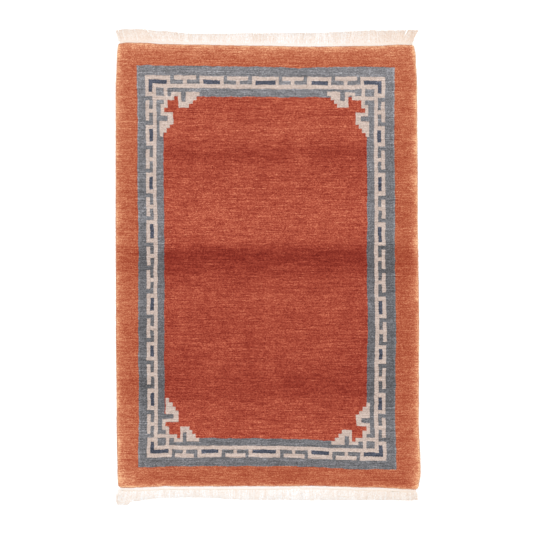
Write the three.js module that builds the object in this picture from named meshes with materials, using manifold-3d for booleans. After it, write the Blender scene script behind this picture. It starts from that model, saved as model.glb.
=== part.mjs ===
// Hand-knotted rug: a cut wool pile on a cotton foundation and, at each end, a narrow flat-woven
// web whose warps run out as a fringe. Millimetres, +Z up. The rug lies flat on z = 0 with its
// length along Y, and the origin is below the middle of the whole. The head end is towards +Y.
import * as THREE from "three";
import { mergeVertices } from "three/addons/utils/BufferGeometryUtils.js";
import Module from "manifold-3d";

// The knotted rug, by its nominal sizes.
const HALF_WIDTH = 600;
const HALF_LENGTH = 873;
const RUG_THICKNESS = 12; // foundation about 3, pile about 9
const SIDE_WALL = 5; // upright foot of the edge, below the leaning pile
const PILE_ROUND = 9; // width over which the pile falls at the edge
const CORNER_RADIUS = 7;

// The web and the fringe.
const WEB_WIDTH = 14;
const WEB_THICKNESS = 3;
const WEB_REACH = 0.99; // of the half width, where the web stops short of the corner
const CLEARANCE = 0.3; // between the pile's end and the web
const STRANDS_PER_END = 148;
const STRAND_HALF_WIDTH = 2.9;
const STRAND_HEIGHT = 2.6;
const ROOT_DEPTH = 4; // how far a strand's root runs into the web
const LENGTH_SPREAD = 0.05; // of a strand's length, either way
const LEAN_SPREAD = 3; // degrees, either way
const LEAN_PATCH = 9; // strands over which the lean turns about once

// A strand's section from root to tip, as shares of its length, half width and height.
const STRAND_SECTIONS = [
  { reach: 0, width: 1, height: 1 },
  { reach: 0.55, width: 0.96, height: 0.9 },
  { reach: 1, width: 0.4, height: 0.45 },
];

// The side edges, from the foot to the head: how far each stands in from the nominal width, at
// a place along the rug given as a share of the half length.
const SIDE_ROWS = [
  { along: -1, left: 8, right: 9 },
  { along: -0.985, left: 6, right: 1 },
  { along: -0.93, left: 4, right: -4 },
  { along: -0.69, left: 1, right: 3 },
  { along: -0.29, left: -2, right: 2 },
  { along: 0.25, left: -3, right: 7 },
  { along: 0.8, left: -3, right: 10 },
  { along: 0.95, left: 2, right: 15 },
  { along: 1, left: 6, right: 22 },
];

// The head end, from left to right: how far the pile reaches past the nominal length, the length
// of web and fringe together, and how far the strands lean to the right, in degrees.
const HEAD_ROWS = [
  { across: -0.98, pile: 11, fringe: 50, lean: -18 },
  { across: -0.94, pile: 14, fringe: 53, lean: -14 },
  { across: -0.8, pile: 13, fringe: 54, lean: -20 },
  { across: -0.69, pile: 8, fringe: 52, lean: -4 },
  { across: -0.49, pile: 6, fringe: 44, lean: 5 },
  { across: -0.1, pile: 2, fringe: 49, lean: -4 },
  { across: 0.3, pile: -2, fringe: 55, lean: 5 },
  { across: 0.7, pile: 1, fringe: 61, lean: -3 },
  { across: 0.89, pile: 6, fringe: 55, lean: 8 },
  { across: 0.9, pile: 6, fringe: 59, lean: 22 },
  { across: 0.95, pile: 5, fringe: 58, lean: 30 },
  { across: 0.98, pile: 4, fringe: 48, lean: 35 },
];

// The foot end, in the same way.
const FOOT_ROWS = [
  { across: -0.98, pile: 0, fringe: 42, lean: -34 },
  { across: -0.965, pile: 0, fringe: 60, lean: -24 },
  { across: -0.91, pile: 1, fringe: 64, lean: -17 },
  { across: -0.87, pile: 1, fringe: 54, lean: -20 },
  { across: -0.8, pile: -1, fringe: 50, lean: -6 },
  { across: -0.69, pile: -5, fringe: 46, lean: -5 },
  { across: -0.49, pile: -4, fringe: 44, lean: 4 },
  { across: -0.1, pile: -5, fringe: 54, lean: -4 },
  { across: 0.3, pile: -6, fringe: 57, lean: 4 },
  { across: 0.7, pile: 0, fringe: 49, lean: -5 },
  { across: 0.92, pile: 6, fringe: 46, lean: 3 },
  { across: 0.98, pile: 8, fringe: 43, lean: 15 },
];

// The creases across the rug, left by folding it in half and in half again: low soft ridges.
const CREASES = [
  { along: -0.51, rise: 1.4, width: 60 },
  { along: 0.04, rise: 2.6, width: 55 },
  { along: 0.53, rise: 1.2, width: 60 },
];

// Slow waves of the whole rug.
const WAVE_RISE = 0.7;
const WAVE_LENGTH = { x: 520, y: 610 };

// The grid that the rug's top is built on.
const RIM_STEPS = [0, 1.5, 4, 9, 24]; // distances in from the edge
const STEPS_ACROSS = 16; // between the rims
const STEPS_ALONG = 36;

// Each end of the rug: which way it faces along Y, and its table.
const HEAD = { facing: 1, rows: HEAD_ROWS, seed: 11 };
const FOOT = { facing: -1, rows: FOOT_ROWS, seed: 47 };

const wasm = await Module();
wasm.setup();

function ease(t) {
  return t * t * (3 - 2 * t);
}

// A column of a table at a place, eased from row to row.
function tableValue(rows, key, place, column) {
  const next = rows.findIndex((row) => row[key] >= place);
  if (next === 0) return rows[0][column];
  if (next < 0) return rows.at(-1)[column];
  const before = rows[next - 1];
  const after = rows[next];
  const share = (place - before[key]) / (after[key] - before[key]);
  return THREE.MathUtils.lerp(before[column], after[column], ease(share));
}

// A repeatable number from -1 to 1 for a whole number.
function scatter(number, seed) {
  const wave = Math.sin(number * 12.9898 + seed * 78.233) * 43758.5453;
  return 2 * (wave - Math.floor(wave)) - 1;
}

// The same, changing smoothly between whole numbers.
function smoothScatter(place, seed) {
  const whole = Math.floor(place);
  const share = ease(place - whole);
  return THREE.MathUtils.lerp(scatter(whole, seed), scatter(whole + 1, seed), share);
}

// Half the rug's width on one side (-1 left, 1 right), at a share of its half length.
function halfWidthAt(side, along) {
  return HALF_WIDTH - tableValue(SIDE_ROWS, "along", along, side < 0 ? "left" : "right");
}

// Half the pile's length at one end, at a place x.
function halfLengthAt(end, x) {
  return HALF_LENGTH + tableValue(end.rows, "across", x / HALF_WIDTH, "pile");
}

// How far the round of a corner cuts a row short, at a share of the half length.
function cornerCut(along) {
  const left = CORNER_RADIUS - (1 - Math.abs(along)) * HALF_LENGTH;
  return left > 0 ? CORNER_RADIUS - Math.sqrt(CORNER_RADIUS ** 2 - left ** 2) : 0;
}

// Distance in from the nominal outline, a rectangle with round corners.
function distanceIn(across, along) {
  const x = Math.abs(across) * (HALF_WIDTH - cornerCut(along)) - (HALF_WIDTH - CORNER_RADIUS);
  const y = Math.abs(along) * HALF_LENGTH - (HALF_LENGTH - CORNER_RADIUS);
  const past = Math.hypot(Math.max(x, 0), Math.max(y, 0));
  return Math.max(CORNER_RADIUS - past - Math.min(Math.max(x, y), 0), 0);
}

// Height of the pile's top at shares of the half width and half length.
function pileTop(across, along) {
  const x = across * HALF_WIDTH;
  const y = along * HALF_LENGTH;
  const out = Math.max(1 - distanceIn(across, along) / PILE_ROUND, 0);
  const round = Math.sqrt(1 - Math.min(out, 1) ** 2);
  const turn = 2 * Math.PI;
  const wave = Math.sin((turn * x) / WAVE_LENGTH.x) * Math.cos((turn * y) / WAVE_LENGTH.y);
  const creases = CREASES.map(
    (crease) => crease.rise * Math.exp(-(((y - crease.along * HALF_LENGTH) / crease.width) ** 2)),
  );
  const rise = creases.reduce((sum, value) => sum + value, WAVE_RISE * wave);
  return SIDE_WALL + (RUG_THICKNESS - SIDE_WALL + rise) * round;
}

// Shares from -1 to 1: close together at both rims, even between them.
function gridShares(half, steps) {
  const rim = RIM_STEPS.map((distance) => 1 - distance / half);
  const inner = rim.at(-1);
  const middle = Array.from({ length: steps - 1 }, (_, i) => inner * ((2 * (i + 1)) / steps - 1));
  return [...rim.map((share) => -share), ...middle, ...rim.toReversed()];
}

const ACROSS = gridShares(HALF_WIDTH, STEPS_ACROSS);
const ALONG = gridShares(HALF_LENGTH, STEPS_ALONG);

// Plan position of a grid point.
function planPoint(across, along) {
  const x = across * (halfWidthAt(across, along) - cornerCut(along));
  return { x, y: along * halfLengthAt(along < 0 ? FOOT : HEAD, x) };
}

// A closed mesh from its points and triangles, given as flat lists.
function closedGeometry(points, triangles) {
  const geometry = new THREE.BufferGeometry();
  geometry.setAttribute("position", new THREE.Float32BufferAttribute(points, 3));
  geometry.setIndex(triangles);
  geometry.computeVertexNormals();
  return geometry;
}

// The rug: a pile top on a grid, an upright edge and a flat underside.
function knottedRug() {
  const points = [];
  const triangles = [];
  const columns = ACROSS.length;
  const rows = ALONG.length;
  for (const along of ALONG) {
    for (const across of ACROSS) {
      const { x, y } = planPoint(across, along);
      points.push(x, y, pileTop(across, along));
    }
  }
  for (let row = 0; row < rows - 1; row++) {
    for (let column = 0; column < columns - 1; column++) {
      const a = row * columns + column;
      const b = a + columns;
      triangles.push(a, a + 1, b + 1, a, b + 1, b);
    }
  }
  const rim = outlineIndices(columns, rows);
  const underside = points.length / 3;
  for (const index of rim) points.push(points[3 * index], points[3 * index + 1], 0);
  rim.forEach((top, i) => {
    const after = (i + 1) % rim.length;
    const low = underside + i;
    const nextLow = underside + after;
    triangles.push(low, nextLow, rim[after], low, rim[after], top);
  });
  const outline = rim.map((index) => new THREE.Vector2(points[3 * index], points[3 * index + 1]));
  for (const [a, b, c] of THREE.ShapeUtils.triangulateShape(outline, [])) {
    triangles.push(underside + a, underside + c, underside + b);
  }
  return closedGeometry(points, triangles);
}

// The grid's outer points, counter-clockwise from above, each named once.
function outlineIndices(columns, rows) {
  const last = columns - 1;
  const count = Array.from({ length: Math.max(columns, rows) }, (_, i) => i);
  const foot = count.slice(0, last);
  const right = count.slice(0, rows - 1).map((row) => row * columns + last);
  const head = count.slice(1, columns).reverse().map((column) => (rows - 1) * columns + column);
  const left = count.slice(1, rows).reverse().map((row) => row * columns);
  return [...foot, ...right, ...head, ...left];
}

// A tube of sections with the same number of points each, closed at both ends. The sections run
// counter-clockwise as seen from the far end.
function sectionedGeometry(sections) {
  const sides = sections[0].length;
  const points = sections.flat().flatMap((p) => [p.x, p.y, p.z]);
  const triangles = [];
  for (let s = 0; s < sections.length - 1; s++) {
    for (let i = 0; i < sides; i++) {
      const a = s * sides + i;
      const b = s * sides + ((i + 1) % sides);
      triangles.push(a, b, b + sides, a, b + sides, a + sides);
    }
  }
  const far = (sections.length - 1) * sides;
  for (let i = 1; i < sides - 1; i++) {
    triangles.push(0, i + 1, i, far, far + i, far + i + 1);
  }
  return closedGeometry(points, triangles);
}

// Where the web starts and ends, and each place between where the pile's end turns.
function webPlaces(end) {
  const reach = (side) => side * WEB_REACH * halfWidthAt(side, end.facing);
  const inner = ACROSS.map((across) => planPoint(across, end.facing).x);
  const between = inner.filter((x) => x > reach(-1) && x < reach(1));
  return [reach(-1), ...between, reach(1)];
}

// The web: a flat strip that follows the pile's end, a little apart from it.
function webGeometry(end) {
  const sections = webPlaces(end).map((x) => {
    const near = end.facing * (halfLengthAt(end, x) + CLEARANCE);
    const far = near + end.facing * WEB_WIDTH;
    const low = Math.min(near, far);
    const high = Math.max(near, far);
    return [
      new THREE.Vector3(x, low, 0),
      new THREE.Vector3(x, high, 0),
      new THREE.Vector3(x, high, WEB_THICKNESS),
      new THREE.Vector3(x, low, WEB_THICKNESS),
    ];
  });
  return sectionedGeometry(sections);
}

// One strand: three sides, flat on the floor, thinner towards its tip.
function strandGeometry(end, number) {
  const [start, stop] = [webPlaces(end)[0], webPlaces(end).at(-1)];
  const rootX = start + ((stop - start) * (number + 0.5)) / STRANDS_PER_END;
  const across = rootX / HALF_WIDTH;
  const rootY = halfLengthAt(end, rootX) + CLEARANCE + WEB_WIDTH - ROOT_DEPTH;
  const free = tableValue(end.rows, "across", across, "fringe") - WEB_WIDTH;
  const length = ROOT_DEPTH + free * (1 + LENGTH_SPREAD * scatter(number, end.seed));
  const patch = LEAN_SPREAD * smoothScatter(number / LEAN_PATCH, end.seed + 1);
  const lean = THREE.MathUtils.degToRad(tableValue(end.rows, "across", across, "lean") + patch);
  const sections = STRAND_SECTIONS.map(({ reach, width, height }) => {
    const x = rootX + Math.tan(lean) * free * reach ** 1.4;
    const y = end.facing * (rootY + length * reach);
    const half = STRAND_HALF_WIDTH * width * end.facing;
    return [
      new THREE.Vector3(x + half, y, 0),
      new THREE.Vector3(x - half, y, 0),
      new THREE.Vector3(x, y, STRAND_HEIGHT * height),
    ];
  });
  return sectionedGeometry(sections);
}

// A closed mesh as a solid that can be joined.
function solidOf(geometry) {
  const bare = new THREE.BufferGeometry();
  bare.setAttribute("position", geometry.getAttribute("position"));
  bare.setIndex(geometry.index);
  const merged = mergeVertices(bare, 1e-4);
  return new wasm.Manifold(
    new wasm.Mesh({
      numProp: 3,
      vertProperties: merged.getAttribute("position").array,
      triVerts: new Uint32Array(merged.index.array),
    }),
  );
}

// The web with its fringe, joined at the strands' roots.
function webAndFringe(end) {
  const strands = Array.from({ length: STRANDS_PER_END }, (_, number) =>
    solidOf(strandGeometry(end, number)),
  );
  const joined = wasm.Manifold.union([solidOf(webGeometry(end)), ...strands]).getMesh();
  return closedGeometry(Array.from(joined.vertProperties), Array.from(joined.triVerts));
}

function named(name, geometry, color) {
  const material = new THREE.MeshStandardMaterial({ color, roughness: 0.95, metalness: 0 });
  const mesh = new THREE.Mesh(geometry, material);
  mesh.name = name;
  return mesh;
}

const laid = new THREE.Group();
laid.add(
  named("Knotted_Rug", knottedRug(), 0xb65a3d),
  named("Head_Web_Fringe", webAndFringe(HEAD), 0xfaefe6),
  named("Foot_Web_Fringe", webAndFringe(FOOT), 0xfaefe6),
);

// The uneven outline is centred on the origin.
const middle = new THREE.Box3().setFromObject(laid, true).getCenter(new THREE.Vector3());
laid.position.set(-middle.x, -middle.y, 0);

const rug = new THREE.Group();
rug.add(laid);

export default rug;
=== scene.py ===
"""Dresses a hand-knotted rug: its wool pile, woven back, overcast sides, end webs and fringes.

The tables hold millimetres, as a maker measures, and every mesh is made in metres. The rug lies
flat on the floor with its length along Y and its head end towards +Y.
"""

from __future__ import annotations

import logging
import math
import sys
from collections.abc import Iterable, Sequence
from dataclasses import dataclass, replace
from enum import Enum
from typing import Any

import bpy
import numpy as np
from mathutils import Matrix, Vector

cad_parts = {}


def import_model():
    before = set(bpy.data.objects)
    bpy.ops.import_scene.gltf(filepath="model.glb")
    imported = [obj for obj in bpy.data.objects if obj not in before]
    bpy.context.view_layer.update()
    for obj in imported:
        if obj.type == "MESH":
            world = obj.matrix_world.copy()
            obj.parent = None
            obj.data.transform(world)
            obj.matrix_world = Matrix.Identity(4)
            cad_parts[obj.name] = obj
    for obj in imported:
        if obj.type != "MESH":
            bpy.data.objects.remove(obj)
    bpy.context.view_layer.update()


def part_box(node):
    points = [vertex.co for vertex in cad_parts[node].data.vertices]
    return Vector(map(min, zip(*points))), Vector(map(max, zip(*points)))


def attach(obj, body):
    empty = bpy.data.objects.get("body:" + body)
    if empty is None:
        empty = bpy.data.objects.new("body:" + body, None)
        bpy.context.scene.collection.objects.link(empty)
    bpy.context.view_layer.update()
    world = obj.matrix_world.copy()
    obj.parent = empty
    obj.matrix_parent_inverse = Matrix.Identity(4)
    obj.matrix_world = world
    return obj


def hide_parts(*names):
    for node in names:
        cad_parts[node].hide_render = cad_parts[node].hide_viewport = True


LOG = logging.getLogger("rug")
BODY = "root"
MM = 0.001
Array = np.ndarray
Span = tuple[float, float]
Triple = tuple[float, float, float]
Face = tuple[int, ...]
# Insets from the rug's own edge: at the sides, the head and the foot.
Insets = tuple[float, float, float]
# One value each for the left, the right, the head and the foot.
Edges = tuple[float, float, float, float]
# How strongly the studio lights level cloth, which the dyes are worked back from.
DAYLIGHT = 1.3
# How strongly a warm dye's red, green and blue follow the nap.
WARM = (1.0, 2.15, 2.4)
# Patches of the pile's noise reach this far through it, so that its own height doesn't count.
THROUGH = 60
# Steps from the fret's middle to its outer lines, across and along.
FRET_HALF = (34, 47.5)


class End(Enum):
    """An end of the rug, by the way that it faces along Y."""

    HEAD = 1
    FOOT = -1


class Side(Enum):
    """A side of the rug, by the way that it faces along X."""

    LEFT = -1
    RIGHT = 1


@dataclass(frozen=True)
class Table:
    """Measures taken at places along a line, eased from one row to the next."""

    columns: tuple[str, ...]
    rows: tuple[tuple[float, ...], ...]

    def at(self, place: Array | float, column: str) -> Array:
        """Reads a column at places along the line.

        Args:
            place: Where to read, in the units of the first column.
            column: The name of the column.

        Returns:
            The eased values, and the end rows' own beyond the ends.
        """
        keys = np.array([row[0] for row in self.rows], float)
        values = np.array([row[self.columns.index(column)] for row in self.rows], float)
        inside = np.clip(np.asarray(place, float), keys[0], keys[-1])
        after = np.clip(np.searchsorted(keys, inside), 1, len(keys) - 1)
        share = eased((inside - keys[after - 1]) / (keys[after] - keys[after - 1]))
        return values[after - 1] * (1 - share) + values[after] * share


def eased(share: Array) -> Array:
    """Eases a share from 0 to 1 at both ends."""
    return share * share * (3 - 2 * share)


def scatter(x: Array, y: Array, seed: float) -> Array:
    """Gives repeatable numbers from -1 to 1 for whole-number places."""
    wave = np.sin(x * 127.1 + y * 311.7 + seed * 74.7) * 43758.5453
    return 2 * (wave - np.floor(wave)) - 1


def unevenness(x: Array, y: Array, lump: Span, seed: float) -> Array:
    """Gives soft lumps and hollows over a surface.

    Args:
        x: Places across.
        y: Places along.
        lump: Length of a lump across and along.
        seed: A number that sets which lumps come out.

    Returns:
        Heights from -1 to 1.
    """
    across, along = np.broadcast_arrays(np.asarray(x) / lump[0], np.asarray(y) / lump[1])
    left, low = np.floor(across), np.floor(along)
    right_share, high_share = eased(across - left), eased(along - low)
    near = scatter(left, low, seed) * (1 - right_share) + scatter(left + 1, low, seed) * right_share
    far_low = scatter(left, low + 1, seed) * (1 - right_share)
    far = far_low + scatter(left + 1, low + 1, seed) * right_share
    return near * (1 - high_share) + far * high_share


@dataclass(frozen=True)
class RugPlan:
    """The outline and the heights of the laid rug, in millimetres about its own middle lines."""

    half_width: float = 600
    half_length: float = 873
    thickness: float = 12
    side_wall: float = 5
    pile_round: float = 9
    corner_radius: float = 7
    web_width: float = 14
    web_thickness: float = 3
    web_reach: float = 0.99
    clearance: float = 0.3
    wave_rise: float = 0.7
    wave_length: Span = (520, 610)
    # The painted highlight along the pile's edges: how far in it reaches and how strong it is, at the
    # left, the right, the head and the foot.
    highlight_reach: Edges = (17, 17, 14, 7)
    highlight_height: Edges = (1.0, 1.3, 0.96, 1.3)
    middle: Span = (0, 0)
    sides: Table = Table(
        ("along", "left", "right"),
        (
            (-1, 8, 9),
            (-0.985, 6, 3.5),
            (-0.93, 4, -4),
            (-0.69, 1, 3),
            (-0.29, -2, 2),
            (0.25, -3, 7),
            (0.8, -3, 10),
            (0.95, 2, 15),
            (1, 6, 22),
        ),
    )
    head: Table = Table(
        ("across", "pile", "fringe", "lean", "bow", "tone"),
        (
            (-0.98, 11, 51, -17, -3, -0.12),
            (-0.94, 14, 53, -14, 0, -0.12),
            (-0.8, 13, 54, -20, 0, -0.1),
            (-0.69, 8, 52, -4, 0, -0.06),
            (-0.49, 6, 44, 5, 0, -0.02),
            (-0.1, 2, 49, -4, 0, -0.02),
            (0.3, -2, 55, 5, 0, -0.01),
            (0.7, 1, 61, -3, 0, -0.06),
            (0.892, 6, 57, 12, 0, -0.12),
            (0.893, 6, 59, 22, 0, -0.12),
            (0.95, 5, 58, 30, 0, -0.18),
            (0.98, 4, 50, 35, 0, -0.18),
        ),
    )
    foot: Table = Table(
        ("across", "pile", "fringe", "lean", "bow", "tone"),
        (
            (-0.98, 0, 68, -11, -10, -0.05),
            (-0.965, 0, 68, -14, -6, -0.05),
            (-0.91, 1, 68, -17, 0, -0.04),
            (-0.87, 1, 54, -20, 0, -0.02),
            (-0.8, -1, 50, -6, 0, 0),
            (-0.69, -5, 46, -5, 0, 0),
            (-0.49, -4, 44, 4, 0, 0),
            (-0.1, -5, 54, -4, 0, 0),
            (0.3, -6, 57, 4, 0, 0),
            (0.7, 0, 49, -5, 0, -0.06),
            (0.92, 6, 46, 3, 0, -0.1),
            (0.98, 8, 43, 15, 2, -0.14),
        ),
    )
    creases: Table = Table(
        ("along", "height", "width"),
        (
            (-0.51, 1.4, 60),
            (0.04, 2.6, 55),
            (0.53, 1.2, 60),
        ),
    )

    def end_table(self, end: End) -> Table:
        """Gives an end's table of pile, fringe and lean."""
        return self.head if end is End.HEAD else self.foot

    def half_width_at(self, side: Array, along: Array) -> Array:
        """Gives half the width on the left (side under 0) or right, at shares of the half length."""
        inset = np.where(side < 0, self.sides.at(along, "left"), self.sides.at(along, "right"))
        return self.half_width - inset

    def half_length_at(self, end: End, x: Array) -> Array:
        """Gives half the pile's length at one end, at places across."""
        return self.half_length + self.end_table(end).at(x / self.half_width, "pile")

    def corner_cut(self, along: Array) -> Array:
        """Tells how far the round of a corner cuts a row short."""
        left = np.maximum(self.corner_radius - (1 - np.abs(along)) * self.half_length, 0)
        cut = self.corner_radius - np.sqrt(np.maximum(self.corner_radius**2 - left**2, 0))
        return np.where(left > 0, cut, 0)

    def plan(self, across: Array, along: Array, inset: Insets = (0, 0, 0)) -> tuple[Array, Array]:
        """Places points of the pile on the floor.

        Args:
            across: Shares of the half width, from -1 to 1.
            along: Shares of the half length, from -1 to 1.
            inset: How far the sides, the head and the foot stand in from the rug's own edge.

        Returns:
            Places across and along.
        """
        half = self.half_width_at(across, along) - self.corner_cut(along) - inset[0]
        x = across * half
        to_head = self.half_length_at(End.HEAD, x)
        to_foot = self.half_length_at(End.FOOT, x)
        return x, along * np.where(along < 0, to_foot - inset[2], to_head - inset[1])

    def distance_in(self, across: Array, along: Array) -> Array:
        """Measures in from the nominal outline, a rectangle with round corners."""
        straight_x = self.half_width - self.corner_radius
        straight_y = self.half_length - self.corner_radius
        x = np.abs(across) * (self.half_width - self.corner_cut(along)) - straight_x
        y = np.abs(along) * self.half_length - straight_y
        past = np.hypot(np.maximum(x, 0), np.maximum(y, 0))
        return np.maximum(self.corner_radius - past - np.minimum(np.maximum(x, y), 0), 0)

    def rise(self, x: Array, y: Array) -> Array:
        """Gives the creases and slow waves, which lift the pile above its even thickness."""
        turn = 2 * math.pi
        wave = np.sin(turn * x / self.wave_length[0]) * np.cos(turn * y / self.wave_length[1])
        total = self.wave_rise * wave
        for along, height, width in self.creases.rows:
            total = total + height * np.exp(-(((y - along * self.half_length) / width) ** 2))
        return total

    def pile_top(self, distance: Array, x: Array, y: Array) -> Array:
        """Gives the height of the pile at a distance in from the edge."""
        out = np.clip(1 - distance / self.pile_round, 0, 1)
        full = self.thickness - self.side_wall + self.rise(x, y)
        return self.side_wall + full * np.sqrt(1 - out**2)

    def edge_highlight(self, x: Array, y: Array) -> Array:
        """Gives the painted highlight near the edges, where the nap falls outwards; it reaches less far
        in at the foot.
        """
        along = np.clip(y / self.half_length, -1, 1)
        left = self.half_width_at(-np.ones_like(x), along) + x
        right = self.half_width_at(np.ones_like(x), along) - x
        head = self.half_length_at(End.HEAD, x) - y
        foot = self.half_length_at(End.FOOT, x) + y
        glow = np.zeros_like(x)
        for gap, reach, height in zip((left, right, head, foot), self.highlight_reach, self.highlight_height):
            glow = np.maximum(glow, height * np.exp(-np.maximum(gap, 0) / reach))
        return glow

    def in_metres(self, x: Array, y: Array, z: Array) -> Array:
        """Puts points about the whole rug's middle, in metres, one row each."""
        columns = np.broadcast_arrays(x - self.middle[0], y - self.middle[1], z)
        return np.stack(columns, axis=-1).reshape(-1, 3) * MM

    def outline(self, inset: Insets = (0, 0, 0), steps: int = 1200) -> Array:
        """Walks round the pile's edge, counter-clockwise from above.

        Args:
            inset: How far the sides, the head and the foot stand in from the rug's own edge.
            steps: Points on each side.

        Returns:
            A closed line of points, one row each, without its first point again.
        """
        up = np.linspace(-1, 1, steps, endpoint=False)
        walks = ((up, -1.0), (1.0, up), (-up, 1.0), (-1.0, -up))
        corners = [np.broadcast_arrays(*walk) for walk in walks]
        across = np.concatenate([walk[0] for walk in corners])
        along = np.concatenate([walk[1] for walk in corners])
        return np.stack(self.plan(across, along, inset), axis=-1)


def plan_about(low: Sequence[float], high: Sequence[float]) -> RugPlan:
    """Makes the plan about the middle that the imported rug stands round.

    Args:
        low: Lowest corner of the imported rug, in metres.
        high: Highest corner.

    Returns:
        The plan with its middle set.
    """
    plan = RugPlan()
    edge = plan.outline()
    own = (edge.min(axis=0) + edge.max(axis=0)) / 2
    packed = (np.array(low)[:2] + np.array(high)[:2]) / 2 / MM
    return RugPlan(middle=tuple(own - packed))


@dataclass(frozen=True)
class FretPlan:
    """Where the fret and the field are knotted, in steps of the fret from the rug's middle.

    A step is four or five knots. The tables say how far the hand-knotted lines stand from
    their even places, in millimetres: `out` columns across the line, `along` columns along it.
    """

    middle: Span = (-5.5, -3.4)
    step: Span = (13.95, 15.92)
    half: Span = FRET_HALF
    sides: Table = Table(
        ("place", "left_out", "right_out", "left_along", "right_along"),
        (
            (-47, 1, 1.5, 4, -4.5),
            (-41.5, 2.5, -1, 2.5, -11.5),
            (-35.5, 3, -3, 0, -11.5),
            (-29.5, 3.5, -1.5, 6, -9),
            (-23.5, 0.5, -2, 7, -3.5),
            (-17.5, 1, 1, -0.5, -13),
            (-11.5, 0.5, -0.5, -2.5, -14.5),
            (-6, 1, -3, 1, -7),
            (0, 1, -4, -1, -12),
            (6.5, 1, -5, -5, -14.5),
            (11.5, 0, -4, 4.5, -2),
            (18.5, -2.5, -5, -1, -7),
            (23.5, -3.5, -5.5, 0, 3),
            (31, -2.5, -8, -2.5, -4.5),
            (39, -3.5, -7, 0.5, -3),
            (47, -6, -6.5, 5.5, 0),
        ),
    )
    ends: Table = Table(
        ("place", "head_out", "foot_out", "head_along", "foot_along"),
        (
            (-34, 5.5, 6, -6, 0),
            (-27, 3, 7.5, -4.5, 1.5),
            (-20, 3, 6.5, 0.5, -8),
            (-12, 0.5, 7, -2, -10),
            (-5, 0, 7.5, -1, -16),
            (0, -0.5, 7, -4, -9.5),
            (4, -1.5, 6.5, -8, -4),
            (11, -1, 4, -8, -4.5),
            (13, -1.5, 3, -4.5, -5.5),
            (19, -2.5, -2.5, -9.5, -5.5),
            (27, -1.5, -5, -6, -8),
            (34, -3, -6, -6, -0.5),
        ),
    )
    arms: Table = Table(
        ("corner", "slide", "arch", "block"),
        (
            (0, 0.25, -0.35, -0.15),
            (1, -0.3, 0, 0.95),
            (2, 0, -0.25, -0.3),
            (3, -0.4, -0.1, -0.15),
            (4, -0.15, -0.32, -0.37),
            (5, -0.35, -0.1, -0.4),
            (6, 1.1, -0.55, -0.65),
            (7, -0.5, 0.45, 0.2),
        ),
    )

    def place(self, x: Array, y: Array) -> Array:
        """Tells which step of the fret's chart stands at places on the rug.

        Args:
            x: Places across, in millimetres from the whole rug's middle.
            y: Places along.

        Returns:
            Steps across and along from the fret's middle, one row for each place.
        """
        even_x, even_y = (x - self.middle[0]) / self.step[0], (y - self.middle[1]) / self.step[1]
        to_right = np.clip(even_x / self.half[0] / 2 + 0.5, 0, 1)
        to_head = np.clip(even_y / self.half[1] / 2 + 0.5, 0, 1)
        drifts = []
        names = (
            ("left_out", "right_out", "foot_along", "head_along"),
            ("left_along", "right_along", "foot_out", "head_out"),
        )
        for left, right, foot, head in names:
            sideways = self.sides.at(even_y, left) * (1 - to_right)
            sideways = sideways + self.sides.at(even_y, right) * to_right
            endways = self.ends.at(even_x, foot) * (1 - to_head)
            endways = endways + self.ends.at(even_x, head) * to_head
            drifts.append(sideways + endways - self._shared(left, right, to_right, to_head))
        steps_x = even_x - drifts[0] / self.step[0]
        steps_y = even_y - drifts[1] / self.step[1]
        return np.stack((steps_x, steps_y), axis=-1)

    def _shared(self, left: str, right: str, to_right: Array, to_head: Array) -> Array:
        """Gives the corners' share of a drift, which the sides and the ends both hold."""
        far = self.half[1]
        foot = self.sides.at(-far, left) * (1 - to_right) + self.sides.at(-far, right) * to_right
        head = self.sides.at(far, left) * (1 - to_right) + self.sides.at(far, right) * to_right
        return foot * (1 - to_head) + head * to_head

    def arm_shifts(self, place: Array, lengthwise: bool) -> Array:
        """Gives how far a corner's arm is knotted from its charted steps.

        Args:
            place: Steps from the fret's middle, one row for each place.
            lengthwise: Whether the arm runs along the rug, not across it.

        Returns:
            The arm's slide and its arch's and block's depth shifts, one row for each place.
        """
        corner = 4 * (place[:, 1] > 0) + 2 * (place[:, 0] > 0) + int(lengthwise)
        rows = np.array([row[1:] for row in self.arms.rows])
        return rows[corner.astype(int)]


class Wire:
    """A socket whose Python operators add Math nodes to its tree."""

    def __init__(self, tree: Tree, socket: bpy.types.NodeSocket) -> None:
        """Wraps a socket of a tree."""
        self.tree = tree
        self.socket = socket

    def __add__(self, other: Wire | float) -> Wire:
        """Adds."""
        return self.tree.math("ADD", self, other)

    def __radd__(self, other: float) -> Wire:
        """Adds to a number."""
        return self.tree.math("ADD", other, self)

    def __sub__(self, other: Wire | float) -> Wire:
        """Subtracts."""
        return self.tree.math("SUBTRACT", self, other)

    def __rsub__(self, other: float) -> Wire:
        """Subtracts from a number."""
        return self.tree.math("SUBTRACT", other, self)

    def __mul__(self, other: Wire | float) -> Wire:
        """Multiplies."""
        return self.tree.math("MULTIPLY", self, other)

    def __rmul__(self, other: float) -> Wire:
        """Multiplies a number."""
        return self.tree.math("MULTIPLY", other, self)

    def __truediv__(self, other: Wire | float) -> Wire:
        """Divides."""
        return self.tree.math("DIVIDE", self, other)

    def __pow__(self, power: float) -> Wire:
        """Raises to a power."""
        return self.tree.math("POWER", self, power)

    def __mod__(self, period: float) -> Wire:
        """Wraps round, from 0 up to the period."""
        return self.tree.math("FLOORED_MODULO", self, period)

    def __abs__(self) -> Wire:
        """Drops the sign."""
        return self.tree.math("ABSOLUTE", self)

    def exp(self) -> Wire:
        """Raises e to this."""
        return self.tree.math("EXPONENT", self)


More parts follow.
